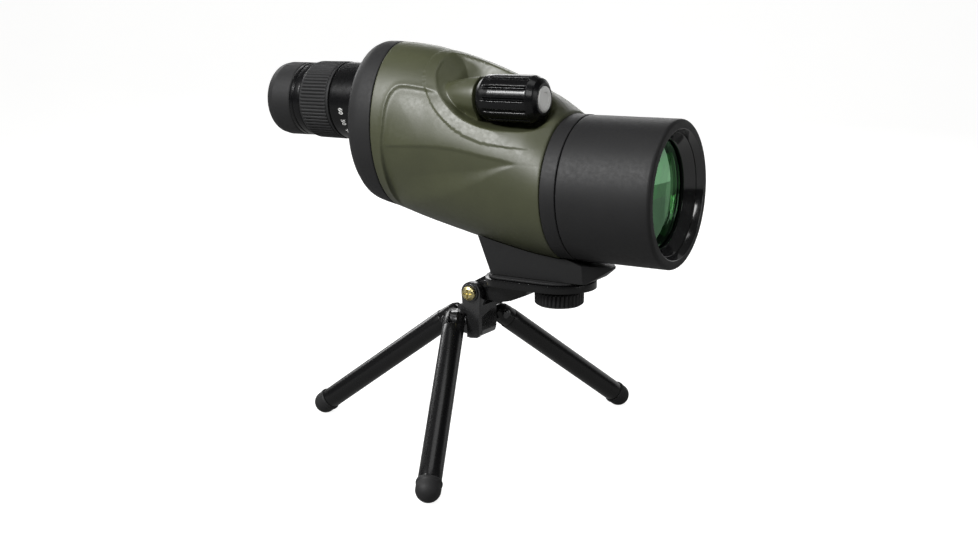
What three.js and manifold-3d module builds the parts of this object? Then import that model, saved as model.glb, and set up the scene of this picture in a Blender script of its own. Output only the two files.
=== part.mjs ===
// Compact 50 mm spotting scope on a folding table tripod.
// Millimetres, +Z up, +X towards the objective, tripod feet on Z = 0.
// Pieces are drawn in the scope frame, whose origin is the centre of the sunshade's front rim.
import * as THREE from 'three';
import { mergeVertices } from 'three/addons/utils/BufferGeometryUtils.js';
import Module from 'manifold-3d';

const wasm = await Module();
wasm.setup();

// ---- driving dimensions ----
const GAP = 0.3; // clearance between neighbouring pieces
const FACETS = 0.42; // share of the full facet count kept on every revolved piece
const AXIS_HEIGHT = 133; // objective axis above the table
const EYE_Z = 36; // eyepiece axis above the objective axis
const EYE = [0, EYE_Z];
const LENS_R = 25; // 50 mm objective
const HOOD_R = 34;
const HOOD_LEN = 45.1;
const COLLAR_LEN = 7.6;

const BODY_FRONT = -53.2;
const BODY_REAR = -148;
const REAR_FACE = -165;
const ARMOUR_T = 2.4;
const HOUSING_T = 2.2;
const HOUSING_OUTSET = ARMOUR_T + GAP; // housing skins, measured in from the body surface
const HOUSING_INSET = HOUSING_OUTSET + HOUSING_T;

const KNOB_Y = -17;
const KNOB_Z = 41.5;
const KNOB = [KNOB_Y, KNOB_Z];
const KNOB_R = 11;
const KNOB_REAR = -91;
const KNOB_FRONT = -59.8;

const PLATE_TOP = -45.2;
const PLATE_T = 3.4;
const PLATE_R = 18;
const SCREW_X = -60;
const SCREW = [SCREW_X, 0];
const TILT_X = -104;
const TILT_Z = -55;
const TILT = [TILT_X, TILT_Z];
const TILT_BARREL_R = 4.9;

const PIVOT_Z = -69.5;
const LEG_REACH = 78.5; // horizontal distance from pivot to foot
const LEG_R = 5.5;
const FORK_R = 5.2;
const FOOT_R = 5.9;
const FOOT_CENTRE_Z = -AXIS_HEIGHT + 5.45;
// pivot place, direction the leg points in degrees, and how far its hub lug runs back
const LEGS = {
  front: { x: -112.3, y: -12.2, azimuth: -66.3, lugBack: 6.6 },
  right: { x: -101, y: 14, azimuth: 63.9, lugBack: 7.6 },
  left: { x: -120.5, y: 0, azimuth: 186.5, lugBack: 7.6 },
};

// ---- materials ----
const material = (finish) => new THREE.MeshStandardMaterial(finish);
const mat = {
  armour: material({ color: 0x5c6047, roughness: 0.6 }),
  rubber: material({ color: 0x17171a, roughness: 0.75 }),
  shade: material({ color: 0x232325, roughness: 0.55 }),
  gloss: material({ color: 0x0b0b0c, roughness: 0.2 }),
  plastic: material({ color: 0x141415, roughness: 0.5 }),
  glass: material({ color: 0x9fd6b4, roughness: 0.05 }),
  brass: material({ color: 0xb59a54, roughness: 0.35, metalness: 1 }),
  steel: material({ color: 0xb8b8b8, roughness: 0.35, metalness: 1 }),
  silver: material({ color: 0xc9c9c9, roughness: 0.35, metalness: 1 }),
  alu: material({ color: 0x2a2a2c, roughness: 0.4, metalness: 1 }),
  enamel: material({ color: 0x0a0a0b, roughness: 0.2, metalness: 0.3 }),
  prism: material({ color: 0xd8e6ee, roughness: 0.05 }),
};

// ---- solids and pieces ----
// welds a geometry into a closed manifold, facing outward
function solid(geometry) {
  geometry.deleteAttribute('normal');
  geometry.deleteAttribute('uv');
  const welded = mergeVertices(geometry, 1e-4);
  const { position } = welded.attributes;
  const index = welded.index.array;
  const triangles = [];
  let volume = 0;
  for (let i = 0; i < index.length; i += 3) {
    const triangle = [...index.slice(i, i + 3)];
    if (new Set(triangle).size < 3) continue;
    const [a, b, c] = triangle.map((n) => new THREE.Vector3().fromBufferAttribute(position, n));
    volume += a.dot(b.cross(c));
    triangles.push(triangle);
  }
  if (volume < 0) triangles.forEach((triangle) => triangle.reverse());
  return new wasm.Manifold(new wasm.Mesh({
    numProp: 3,
    vertProperties: new Float32Array(position.array),
    triVerts: new Uint32Array(triangles.flat()),
  }));
}

const group = new THREE.Group();
group.position.set(112.7, -0.2, AXIS_HEIGHT);

function piece(name, shape, finish, matrix = new THREE.Matrix4()) {
  const { vertProperties, triVerts } = shape.getMesh();
  const geometry = new THREE.BufferGeometry();
  geometry.setAttribute('position', new THREE.Float32BufferAttribute(vertProperties, 3));
  geometry.setIndex(new THREE.Uint32BufferAttribute(triVerts, 1));
  geometry.computeVertexNormals();
  geometry.applyMatrix4(matrix);
  const mesh = new THREE.Mesh(geometry, finish);
  mesh.name = name;
  group.add(mesh);
}

// ---- revolved shapes: profile points are [place along the axis, radius] ----
// `axis` holds the axis's other two coordinates; `facets` is the full count, before FACETS
function lathe(profile, facets) {
  const segments = Math.max(10, 2 * Math.round(facets * FACETS / 2));
  return new THREE.LatheGeometry(profile.map(([h, r]) => new THREE.Vector2(r, h)), segments);
}
function revolveX(profile, facets, [y, z] = [0, 0]) {
  return solid(lathe(profile, facets).rotateZ(-Math.PI / 2).translate(0, y, z));
}
function revolveY(profile, facets, [x, z] = [0, 0]) {
  return solid(lathe(profile, facets).translate(x, 0, z));
}
function revolveZ(profile, facets, [x, y]) {
  return solid(lathe(profile, facets).rotateX(Math.PI / 2).translate(x, y, 0));
}
const rod = (from, to, r) => [[from, 0], [from, r], [to, r], [to, 0]];
const tube = (from, to, outer, inner) => [
  [from, inner], [from, outer], [to, outer], [to, inner], [from, inner],
];
const rodX = (from, to, r, facets, axis) => revolveX(rod(from, to, r), facets, axis);
const rodY = (from, to, r, facets, axis) => revolveY(rod(from, to, r), facets, axis);
const rodZ = (from, to, r, facets, axis) => revolveZ(rod(from, to, r), facets, axis);
const tubeX = (from, to, outer, inner, facets, axis) =>
  revolveX(tube(from, to, outer, inner), facets, axis);

// ---- boxes, extrusions and outlines ----
function box(x0, x1, y0, y1, z0, z1) {
  const geometry = new THREE.BoxGeometry(x1 - x0, y1 - y0, z1 - z0);
  return solid(geometry.translate((x0 + x1) / 2, (y0 + y1) / 2, (z0 + z1) / 2));
}
function extrude(outline, depth) {
  const shape = new THREE.Shape(outline.map(([u, v]) => new THREE.Vector2(u, v)));
  return new THREE.ExtrudeGeometry(shape, { depth, bevelEnabled: false });
}
const extrudeXY = (outline, z0, z1) => solid(extrude(outline, z1 - z0).translate(0, 0, z0));
function extrudeXZ(outline, y0, y1) {
  return solid(extrude(outline, y1 - y0).rotateX(Math.PI / 2).translate(0, y1, 0));
}
function extrudeYZ(outline, x0, x1) {
  const [X, Y, Z] = [[1, 0, 0], [0, 1, 0], [0, 0, 1]].map((v) => new THREE.Vector3(...v));
  const turn = new THREE.Matrix4().makeBasis(Y, Z, X);
  return solid(extrude(outline, x1 - x0).applyMatrix4(turn).translate(x0, 0, 0));
}

const radians = (degrees) => (degrees * Math.PI) / 180;
function arc(u, v, start, end, steps, radiusU, radiusV = radiusU) {
  return Array.from({ length: steps + 1 }, (_, i) => {
    const angle = radians(start + (i / steps) * (end - start));
    return [u + radiusU * Math.cos(angle), v + radiusV * Math.sin(angle)];
  });
}
// circle of `count` lobes, each of `steps` points with the first one sunk to the inner radius
function lobed(count, outer, inner, steps, [u, v]) {
  return Array.from({ length: count * steps }, (_, i) => {
    const angle = (i / (count * steps)) * 2 * Math.PI;
    const r = i % steps === 0 ? inner : outer;
    return [u + r * Math.cos(angle), v + r * Math.sin(angle)];
  });
}

// ---- body form: elliptical sections of x, top z, bottom z, half width ----
const SECTIONS = [
  [-165, 59, -7, 24.6], [-163.4, 62.6, -10.6, 27.7], [-160.5, 65.2, -13.2, 30.0],
  [-156, 66.5, -14.7, 30.8], [-148, 66.3, -16.4, 31.1], [-132, 64.7, -20.6, 31.8],
  [-120, 62.3, -23.4, 32.3], [-108, 59.1, -26, 32.8], [-97, 55.7, -28.3, 33.2],
  [-86, 51.8, -30.4, 33.6], [-75, 47.4, -32.3, 34.0], [-64, 42.2, -33.8, 34.3],
  [-53, 35.0, -34.6, 34.5],
];
const INNER_STATIONS = [-148, -120, -97, -75];

function sectionAt(station) {
  const x = Math.min(Math.max(station, SECTIONS[0][0]), SECTIONS.at(-1)[0]);
  let i = 0;
  while (i < SECTIONS.length - 2 && x > SECTIONS[i + 1][0]) i++;
  const from = SECTIONS[i];
  const to = SECTIONS[i + 1];
  const t = (x - from[0]) / (to[0] - from[0]);
  return from.map((value, k) => value + (to[k] - value) * t);
}
// capped skin through the sections at the given x stations, drawn in by `inset`
function loft(xs, inset, sides = 24) {
  const rows = xs.length - 1;
  const geometry = new THREE.CylinderGeometry(1, 1, 1, sides, rows);
  const p = geometry.attributes.position;
  for (let i = 0; i < p.count; i++) {
    const x = xs[Math.round((0.5 - p.getY(i)) * rows)];
    const [, top, bottom, halfWidth] = sectionAt(x);
    const middle = (top + bottom) / 2;
    const halfHeight = (top - bottom) / 2 - inset;
    if (Math.hypot(p.getX(i), p.getZ(i)) < 1e-6) {
      p.setXYZ(i, x, 0, middle);
      continue;
    }
    const angle = Math.atan2(p.getZ(i), p.getX(i));
    const y = (halfWidth - inset) * Math.cos(angle);
    p.setXYZ(i, x, y, middle + halfHeight * Math.sin(angle));
  }
  return solid(geometry);
}
const between = (x0, x1, xs, margin) => [
  x0, ...xs.filter((x) => x > x0 + margin && x < x1 - margin), x1,
];
const outerStations = (x0, x1) => between(x0, x1, SECTIONS.map(([x]) => x), 1);
const innerStations = (x0, x1) => between(x0, x1, INNER_STATIONS, 1.5);

// ---- recess that the focus knob sits in, grown by `grow` for the shells beneath it ----
// its side profile as [x, z], from the back of the body down to a shelf
const SHELF = [
  [-117.4, 58], [-116.6, 52.5], [-114.5, 48.2], [-111.4, 43.8], [-107.3, 39.6], [-99.7, 33.9],
  [-92.2, 30.4], [-84.4, 28.3], [-76, 27.2], [-66, 26.8], [-56, 26.8],
];
const TROUGH_R = 13;
function recess(grow) {
  const front = -56 + Math.min(grow, 1);
  const r = TROUGH_R + grow;
  const trough = [
    [KNOB_Y - 1, KNOB_Z - r], ...arc(KNOB_Y, KNOB_Z, -90, 0, 10, r),
    [KNOB_Y + r + 2, 70], [KNOB_Y - 1, 70],
  ];
  const last = SHELF.length - 1;
  const side = SHELF.map(([x, z], i) => {
    const before = SHELF[Math.max(0, i - 1)];
    const after = SHELF[Math.min(last, i + 1)];
    const dx = after[0] - before[0];
    const dz = after[1] - before[1];
    const length = Math.hypot(dx, dz);
    return [i === last ? front : x + (grow * dz) / length, z - (grow * dx) / length];
  });
  side.push([front, 75], [side[0][0] - 0.4, 75]);
  const hollow = new THREE.SphereGeometry(1, 20, 12)
    .scale(17.5 + grow, 14 + grow, 26 + grow)
    .translate(-97, KNOB_Y, 60);
  return extrudeXZ(side, -50, KNOB_Y + 2 + grow)
    .add(extrudeYZ(trough, -93.8 - grow, front))
    .add(solid(hollow));
}

// ---- body shells ----
const frontBore = rodX(-62, -50, 29.5, 56);
const spindleBore = rodX(-114, -90, 3.4, 20, KNOB);
// bushing seat, stepped down to a smaller bore at its rear
const bushingBore = rodX(-125, -97.6, 4.95, 40, KNOB)
  .subtract(tubeX(-126, -110.2, 8, 4.32, 40, KNOB));
const fairing = revolveX([
  [-119, 0], [-119, 1.5], [-112, 5.4], [-104, 8.0], [-97, 9.1], [-92.2, 9.5], [-92.2, 0],
], 28, KNOB);
const armour = loft(outerStations(BODY_REAR, BODY_FRONT), 0, 32)
  .subtract(recess(0))
  .add(fairing)
  .subtract(loft(innerStations(BODY_REAR - 1, BODY_FRONT + 1), ARMOUR_T)
    .subtract(recess(ARMOUR_T)))
  .subtract(frontBore)
  .subtract(spindleBore)
  .subtract(bushingBore);
piece('rubber_armour', armour, mat.armour);

const housing = loft(innerStations(-154.8, -53.4), HOUSING_OUTSET)
  .subtract(recess(HOUSING_OUTSET))
  .subtract(loft(innerStations(-156, -57.5), HOUSING_INSET).subtract(recess(HOUSING_INSET)))
  .subtract(frontBore)
  .subtract(spindleBore)
  .subtract(rodX(-123, -94, 4.9, 20, KNOB).intersect(box(-123, -94, -30, 0, 30, 60)));
piece('main_housing', housing, mat.plastic);

const bulkhead = loft([-160.2, -158, -155.2], HOUSING_OUTSET + 0.3)
  .subtract(rodX(-162, -150, 16.3, 48, EYE));
piece('rear_bulkhead', bulkhead, mat.plastic);

const rearCover = loft(outerStations(REAR_FACE, BODY_REAR - GAP), 0, 32)
  .subtract(loft([-161, -158, -154, BODY_REAR + 1], ARMOUR_T))
  .subtract(rodX(-170, -150, 16.4, 48, EYE));
piece('rear_cover', rearCover, mat.rubber);

// ---- front end ----
piece('sunshade', revolveX([
  [-HOOD_LEN, 32], [-HOOD_LEN, 33.7], [-44.2, HOOD_R], [-1.6, HOOD_R], [-0.4, 33.5], [0, 32.4],
  [0, 29.9], [-0.4, 29.4], [-3, 28.1], [-3, 32], [-HOOD_LEN, 32],
], 64), mat.shade);
const COLLAR_FRONT = -HOOD_LEN - GAP;
piece('collar_ring', tubeX(COLLAR_FRONT - COLLAR_LEN, COLLAR_FRONT, 34.3, 31.8, 64), mat.shade);
piece('objective_barrel', revolveX([
  [-60, 27.2], [-60, 29], [-53.1, 29], [-53.1, 31.5], [-3.5, 31.5], [-3.5, 29.6], [-50, 29.6],
  [-50, 27.2], [-60, 27.2],
], 56), mat.plastic);
piece('retaining_ring', revolveX([
  [-8.3, 25.1], [-8.3, 29.3], [-3.5, 29.3], [-3.5, 27.8], [-7.8, 25.1], [-8.3, 25.1],
], 56), mat.gloss);

// cell with its inner lip at the rear
const cell = ([rear, front], [lip, inner, outer], step, facets, axis) => revolveX([
  [rear, lip], [rear, outer], [front, outer], [front, inner], [step, inner], [step, lip],
  [rear, lip],
], facets, axis);
piece('objective_cell', cell([-22, -8.6], [23, 25.4, 29.3], -18.8, 48), mat.plastic);

// rear and front are the x of the rim planes; a positive sag bulges outward
function lens({ rear, front, radius, rearSag, frontSag, facets, axis }) {
  const rings = 3;
  const face = (rim, depth) => Array.from({ length: rings + 1 }, (_, i) => [
    rim + depth * (1 - (i / rings) ** 2), (radius * i) / rings,
  ]);
  return revolveX([...face(rear, -rearSag), ...face(front, frontSag).reverse()], facets, axis);
}
piece('objective_crown_lens', lens({
  rear: -12.2, front: -9.2, radius: LENS_R, rearSag: 1.9, frontSag: 2.2, facets: 40,
}), mat.glass);
piece('objective_flint_lens', lens({
  rear: -18.5, front: -12.5, radius: LENS_R, rearSag: 0.4, frontSag: -2, facets: 40,
}), mat.glass);

// ---- erecting prisms, on either side of the prism plate ----
const PRISM_LEN = 39.5;
const PRISM_W = 15;
const PRISM_OFFSET = 9; // prism centre from the objective or eyepiece axis, in y and z
const PLATE_REAR = -129;
const PLATE_FRONT = -126;
const GUIDE = [19, 3]; // axis of the focus guide rod
// face is the x of the long face; way is the x direction in which the apex points
const PRISMS = {
  rear: { z: PRISM_OFFSET, tilt: -45, face: PLATE_REAR - GAP, way: -1 },
  front: { z: EYE_Z - PRISM_OFFSET, tilt: 45, face: PLATE_FRONT + GAP, way: 1 },
};
const prismSeat = ({ z, tilt }) => new THREE.Matrix4()
  .makeTranslation(0, PRISM_OFFSET, z)
  .multiply(new THREE.Matrix4().makeRotationX(radians(tilt)));

// right-angled prism with rounded ends and a flattened apex
function prism({ face, way }) {
  const half = PRISM_LEN / 2;
  const r = PRISM_W / 2;
  const wedge = extrudeXZ([[face, -half], [face, half], [face + way * half, 0]], -r, r);
  const ends = [...arc(0, half - r, 0, 180, 8, r), ...arc(0, r - half, 180, 360, 8, r)];
  const apex = face + way * 21.5;
  return wedge
    .intersect(extrudeYZ(ends, face - 25, face + 25))
    .subtract(box(apex - 3, apex + 3, -20, 20, -4, 4));
}
// spring strap over a prism as [distance from its long face, z]
const CLIP = [
  [19.6, -5], [19.6, 5], [3, 20.6], [0.9, 20.6], [0.9, 21.6], [3.4, 21.6],
  [20.3, 5.6], [20.3, -5.6], [3.4, -21.6], [0.9, -21.6], [0.9, -20.6], [3, -20.6],
];
const clip = ({ face, way }) => extrudeXZ(CLIP.map(([out, z]) => [face + way * out, z]), -3, 3);

for (const [name, seat] of Object.entries(PRISMS)) {
  piece(`erecting_prism_${name}`, prism(seat), mat.prism, prismSeat(seat));
}
const plateHole = (r, facets, axis) => rodX(-131, -120, r, facets, axis);
const prismPlate = loft([PLATE_REAR, -127.5, PLATE_FRONT], HOUSING_INSET + 0.9)
  .subtract(plateHole(7, 28))
  .subtract(plateHole(6.5, 28, [2 * PRISM_OFFSET, 2 * PRISM_OFFSET]))
  .subtract(plateHole(7, 28, EYE))
  .subtract(plateHole(2.3, 16, KNOB))
  .subtract(plateHole(1.8, 16, GUIDE));
piece('prism_plate', prismPlate, mat.alu);
for (const [name, seat] of Object.entries(PRISMS)) {
  piece(`prism_clip_${name}`, clip(seat), mat.steel, prismSeat(seat));
}

// ---- focusing ----
const knobForm = revolveX([
  [KNOB_REAR, 0], [KNOB_REAR, 9.6], [KNOB_REAR + 2.4, 10.6], [KNOB_REAR + 8, KNOB_R],
  [KNOB_FRONT - 4.2, KNOB_R], [KNOB_FRONT - 1.6, 9.9], [KNOB_FRONT, 7.8], [KNOB_FRONT, 0],
], 48, KNOB);
const knob = extrudeYZ(lobed(12, KNOB_R, KNOB_R - 0.9, 3, KNOB), KNOB_REAR, KNOB_FRONT)
  .intersect(knobForm)
  .subtract(rodX(KNOB_REAR - 1, KNOB_FRONT - 6, 3.1, 20, KNOB))
  .subtract(rodX(KNOB_FRONT - 1.2, KNOB_FRONT + 1, 6, 32, KNOB));
piece('focus_knob', knob, mat.gloss);
piece('focus_knob_cap', revolveX([
  [KNOB_FRONT - 0.9, 0], [KNOB_FRONT - 0.9, 5.7], [KNOB_FRONT + 0.3, 5.7],
  [KNOB_FRONT + 0.6, 5.2], [KNOB_FRONT + 0.6, 0],
], 32, KNOB), mat.silver);
piece('focus_spindle', revolveX([
  [-131, 0], [-131, 2], [-110.2, 2], [-110.2, 2.8], [KNOB_FRONT - 6.3, 2.8],
  [KNOB_FRONT - 6.3, 0],
], 24, KNOB), mat.brass);
piece('focus_bushing', tubeX(-109.8, -98, 4.6, 3.15, 40, KNOB), mat.brass);

// lens ring, with an arm back and up to a boss on the spindle
const carriage = tubeX(-89, -83, 18.5, 14.3, 40)
  .add(box(-121, -83, -19, -16, 2, 8))
  .add(box(-121, -117, -19, -16, 2, 40))
  .add(rodX(-121.5, -114.5, 4, 20, KNOB))
  .add(rodX(-89, -83, 3.4, 20, GUIDE))
  .subtract(rodX(-125, -110, 2.3, 20, KNOB))
  .subtract(rodX(-95, -75, 1.8, 16, GUIDE));
piece('focus_carriage', carriage, mat.alu);
piece('focus_lens', lens({
  rear: -87.5, front: -84.5, radius: 14, rearSag: -0.7, frontSag: -0.7, facets: 32,
}), mat.glass);
piece('focus_guide_rod', rodX(-130.5, -64, 1.4, 16, GUIDE), mat.steel);

// ---- zoom eyepiece ----
const GRIP_REAR = -201.2;
const GRIP_FRONT = -182.4;
const slot = tubeX(-190.6, -187.4, 18, 13, 40, EYE)
  .intersect(box(-192, -186, -20, 20, EYE_Z - 2.6, EYE_Z + 20));
piece('eyepiece_base', revolveX([
  [-152, 14.3], [GRIP_REAR, 14.3], [GRIP_REAR, 16], [-182, 16], [-182, 19.2], [-181.6, 19.6],
  [-166, 19.6], [-165.3, 18.6], [-165.3, 16], [-152, 16], [-152, 14.3],
], 52, EYE).subtract(slot), mat.gloss);
const gripForm = revolveX([
  [GRIP_REAR, 0], [GRIP_REAR, 19.1], [-200.4, 19.5], [-190, 19.8], [-183, 19.8],
  [GRIP_FRONT, 19.2], [GRIP_FRONT, 0],
], 60, EYE);
const grip = extrudeYZ(lobed(24, 19.8, 19.3, 2, EYE), GRIP_REAR, GRIP_FRONT)
  .intersect(gripForm)
  .subtract(rodX(-205, -180, 17.65, 52, EYE));
piece('zoom_grip', grip, mat.rubber);
piece('zoom_sleeve', tubeX(GRIP_REAR, GRIP_FRONT, 17.3, 16.4, 52, EYE), mat.plastic);
piece('zoom_cam_tube', tubeX(-195.5, -158, 13.9, 12.5, 52, EYE), mat.brass);
piece('zoom_drive_pin', rodY(14.2, 16, 1.1, 16, [-189, EYE_Z]), mat.steel);
piece('zoom_front_cell', cell([-176, -166], [9, 10.2, 12.1], -174.8, 32, EYE), mat.alu);
piece('zoom_front_lens', lens({
  rear: -172.6, front: -170, radius: 9.9, rearSag: 0.9, frontSag: -0.6, facets: 28, axis: EYE,
}), mat.glass);
piece('zoom_rear_cell', cell([-193, -185], [9, 10.4, 12.1], -191.8, 32, EYE), mat.alu);
piece('zoom_rear_lens', lens({
  rear: -190, front: -187.6, radius: 10.1, rearSag: 0.8, frontSag: 0.8, facets: 28, axis: EYE,
}), mat.glass);
piece('ocular_head', revolveX([
  [-201.6, 12.2], [-196.4, 12.2], [-196.4, 14], [-201.6, 14], [-201.6, 18.6], [-202, 18.9],
  [-208.2, 18.9], [-208.2, 17], [-219.5, 17], [-219.5, 11], [-217.6, 11], [-217.6, 12.8],
  [-201.6, 12.8], [-201.6, 12.2],
], 48, EYE), mat.gloss);
piece('eye_lens', lens({
  rear: -216.6, front: -213, radius: 12.4, rearSag: 0.6, frontSag: 1.4, facets: 32, axis: EYE,
}), mat.glass);
piece('eyecup', revolveX([
  [-208.5, 17.3], [-208.5, 18.6], [-209.4, 18.9], [-220, 18.9], [-223, 18.3], [-224.8, 17],
  [-225.4, 15.2], [-225, 13.8], [-223.6, 13.4], [-220.2, 14.2], [-219.9, 17.3], [-208.5, 17.3],
], 48, EYE), mat.rubber);

// ---- mounting foot under the body: side, end and plan outlines intersected ----
const footSide = [
  [-98, -24], [-91, -43.6], [-40.5, -43.6], [-31.5, -37.2], [-31.5, -36.2], [-42.4, -34.7],
  [-52.2, -31.5], [-53.4, -20], [-98, -20],
];
const footEnd = [[-12.2, -43.6], [12.2, -43.6], [14, -20], [-14, -20]];
const footPlan = [
  [-98, -15], [-43, -15], ...arc(-43, 0, -90, 90, 12, 11.5, 13.6).slice(1, -1),
  [-43, 15], [-98, 15],
];
const mountFoot = extrudeXZ(footSide, -16, 16)
  .intersect(extrudeYZ(footEnd, -110, -20))
  .intersect(extrudeXY(footPlan, -60, -10))
  .subtract(loft(outerStations(-150, BODY_FRONT), -GAP - 0.1, 32))
  .subtract(rodX(-56, -20, 34.8, 56))
  .subtract(rodZ(-50, -36.5, 5.3, 28, SCREW));
piece('mount_foot', mountFoot, mat.plastic);
piece('thread_insert', revolveZ(tube(-43.5, -36.8, 5, 3.5), 28, SCREW), mat.brass);

// ---- tilting platform ----
// round at the front, flatter at the rear
const plateOutline = (rear, r) => [
  ...arc(SCREW_X, 0, -90, 90, 14, r), ...arc(rear, 0, 90, 270, 14, r * 0.7, r),
];
const PLATE_BOTTOM = PLATE_TOP - PLATE_T;
const arm = extrudeXZ([
  [-104, -59.7], [-98.5, -59.2], [-76, PLATE_BOTTOM - 0.2], [-76, PLATE_TOP - 1],
  [-98, PLATE_TOP - 1], [-106.5, -51],
], -5.2, 5.2);
const platform = extrudeXY(plateOutline(-85, PLATE_R), PLATE_BOTTOM, PLATE_TOP)
  .add(arm)
  .add(rodY(-6.7, 6.7, TILT_BARREL_R, 28, TILT))
  .subtract(rodY(-20, 20, 2.3, 20, TILT))
  .subtract(rodZ(-60, -40, 3.5, 24, SCREW));
piece('platform', platform, mat.enamel);
const pad = extrudeXY(plateOutline(-84.5, PLATE_R - 1.5), PLATE_TOP + GAP, PLATE_TOP + 1.3)
  .subtract(rodZ(-60, -40, 3.6, 24, SCREW));
piece('platform_pad', pad, mat.rubber);

const THUMB_TOP = PLATE_BOTTOM - GAP;
const THUMB_BOTTOM = THUMB_TOP - 8.6;
const THUMB_R = 12;
const thumbForm = revolveZ([
  [THUMB_BOTTOM, 0], [THUMB_BOTTOM, 10.4], [THUMB_TOP - 7.4, THUMB_R],
  [THUMB_TOP - 2.2, THUMB_R], [THUMB_TOP - 1.2, 11.2], [THUMB_TOP, 9.4], [THUMB_TOP, 0],
], 40, SCREW);
const thumbKnob = extrudeXY(lobed(18, THUMB_R, 11.3, 2, SCREW), THUMB_BOTTOM, THUMB_TOP)
  .intersect(thumbForm)
  .subtract(rodZ(THUMB_TOP - 6.4, THUMB_TOP + 2, 3.45, 20, SCREW));
piece('mount_knob', thumbKnob, mat.plastic);
piece('mount_screw', rodZ(THUMB_TOP - 6, -37.2, 3.1, 24, SCREW), mat.steel);

// ---- tripod hub ----
const earOutline = [
  ...arc(TILT_X, TILT_Z, -8, 188, 14, 5.2), [-108.6, -61.5], [-106.2, -64.5],
  [-105.2, -77.2], [-103.6, -78.2], [-100.2, -77.6], [-99.4, -75.5], [-98.9, -60],
];
const coreOutline = [
  [-98.9, -9], [-98.9, 7.2], [-108.6, 7.2], [-114.5, 4], [-114.5, -6.2], [-106, -6.2],
  [-106, -9],
];
// round-nosed lug that a leg's fork straddles
function legLug({ x, y, azimuth, lugBack }) {
  const outline = [...arc(0, 0, -90, 90, 10, 4.4), [-lugBack, 4.4], [-lugBack, -4.4]];
  return solid(extrude(outline, 3.4).translate(0, 0, -1.7).rotateX(Math.PI / 2)
    .rotateZ(radians(azimuth)).translate(x, y, PIVOT_Z));
}
// rivet hole, kept short so that it stays clear of the other lugs
function lugBore({ x, y, azimuth }) {
  const bore = new THREE.CylinderGeometry(1.75, 1.75, 20, 18).rotateZ(radians(azimuth));
  const limit = new THREE.BoxGeometry(9, 9, 9);
  return solid(bore.translate(x, y, PIVOT_Z)).intersect(solid(limit.translate(x, y, PIVOT_Z)));
}
let hub = extrudeXY(coreOutline, -77.4, -61.5)
  .subtract(box(-120, -107.4, -20, 20, -63, -60))
  .add(box(-107.8, -98.9, 5, 10.2, -63.4, -61.2))
  .add(extrudeXZ(earOutline, -10.2, -7))
  .add(extrudeXZ(earOutline, 7, 10.2).intersect(box(-120, -90, 5, 12, -63.4, -40)));
for (const leg of Object.values(LEGS)) hub = hub.add(legLug(leg)).subtract(lugBore(leg));
piece('tripod_hub', hub.subtract(rodY(-20, 20, 2.2, 20, TILT)), mat.enamel);

piece('tilt_screw', revolveY([
  [-13.4, 0], [-13.4, 2.2], [-12.8, 3.4], [-11.4, 3.6], [-11.4, 1.9], [13.6, 1.9], [13.6, 0],
], 28, TILT), mat.brass);
piece('tilt_washer', revolveY(tube(-11.1, -10.5, 4.3, 2.2), 28, TILT), mat.steel);
const hexagon = new THREE.CylinderGeometry(4, 4, 2.6, 6).translate(TILT_X, 11.8, TILT_Z);
piece('tilt_nut', solid(hexagon).subtract(rodY(5, 20, 2.2, 20, TILT)), mat.steel);

// ---- legs: local x runs down the leg from its pivot, local y is the pivot axis ----
const LEG_DROP = PIVOT_Z - FOOT_CENTRE_Z;
const LEG_LEN = Math.hypot(LEG_REACH, LEG_DROP);

function legFrame({ x, y, azimuth }) {
  const angle = radians(azimuth);
  const down = new THREE.Vector3(
    LEG_REACH * Math.cos(angle), LEG_REACH * Math.sin(angle), -LEG_DROP,
  ).normalize();
  const across = new THREE.Vector3(-Math.sin(angle), Math.cos(angle), 0);
  return new THREE.Matrix4()
    .makeBasis(down, across, down.clone().cross(across))
    .setPosition(x, y, PIVOT_Z);
}
function legFork() {
  const side = [...arc(0, 0, 90, 270, 10, 5.4), [27, -5.4], [27, 5.4]];
  return revolveX([
    [-5.4, 0], [-5.4, 2.2], [-4.4, 3.8], [-2, 5], [0, FORK_R], [12, FORK_R], [12, 4.1],
    [26, 4.1], [26, 0],
  ], 28)
    .intersect(extrudeXZ(side, -6, 6))
    .subtract(box(-7, 7.6, -2.05, 2.05, -8, 8))
    .subtract(rodY(-8, 8, 1.75, 18));
}
// plug, collar and rounded tip, trimmed flat where it stands on the table
function legFoot({ x, y, azimuth }, frame) {
  const angle = radians(azimuth);
  const table = new THREE.BoxGeometry(60, 60, 20)
    .translate(0, 0, -AXIS_HEIGHT - 10)
    .translate(x + LEG_REACH * Math.cos(angle), y + LEG_REACH * Math.sin(angle), 0)
    .applyMatrix4(frame.clone().invert());
  return revolveX([
    [LEG_LEN - 10, 0], [LEG_LEN - 10, 4.2], [LEG_LEN - 4.4, 4.2], [LEG_LEN - 4.4, FOOT_R],
    [LEG_LEN - 3.8, 6.15], [LEG_LEN - 2.8, 6.15], [LEG_LEN - 2.2, FOOT_R],
    ...arc(LEG_LEN, 0, 90, 0, 5, FOOT_R * 0.98, FOOT_R),
  ], 28).subtract(solid(table));
}
const RIVET = [
  [-6.4, 0], [-6.3, 1.6], [-5.5, 2.6], [-5.5, 1.4], [5.5, 1.4], [5.5, 2.6], [6.3, 1.6], [6.4, 0],
];
for (const [name, leg] of Object.entries(LEGS)) {
  const frame = legFrame(leg);
  piece(`leg_${name}_fork`, legFork(), mat.plastic, frame);
  piece(`leg_${name}_tube`, tubeX(12.3, LEG_LEN - 4.6, LEG_R, 4.4, 28), mat.enamel, frame);
  piece(`leg_${name}_foot`, legFoot(leg, frame), mat.rubber, frame);
  piece(`leg_${name}_rivet`, revolveY(RIVET, 18), mat.steel, frame);
}

export default group;
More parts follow.
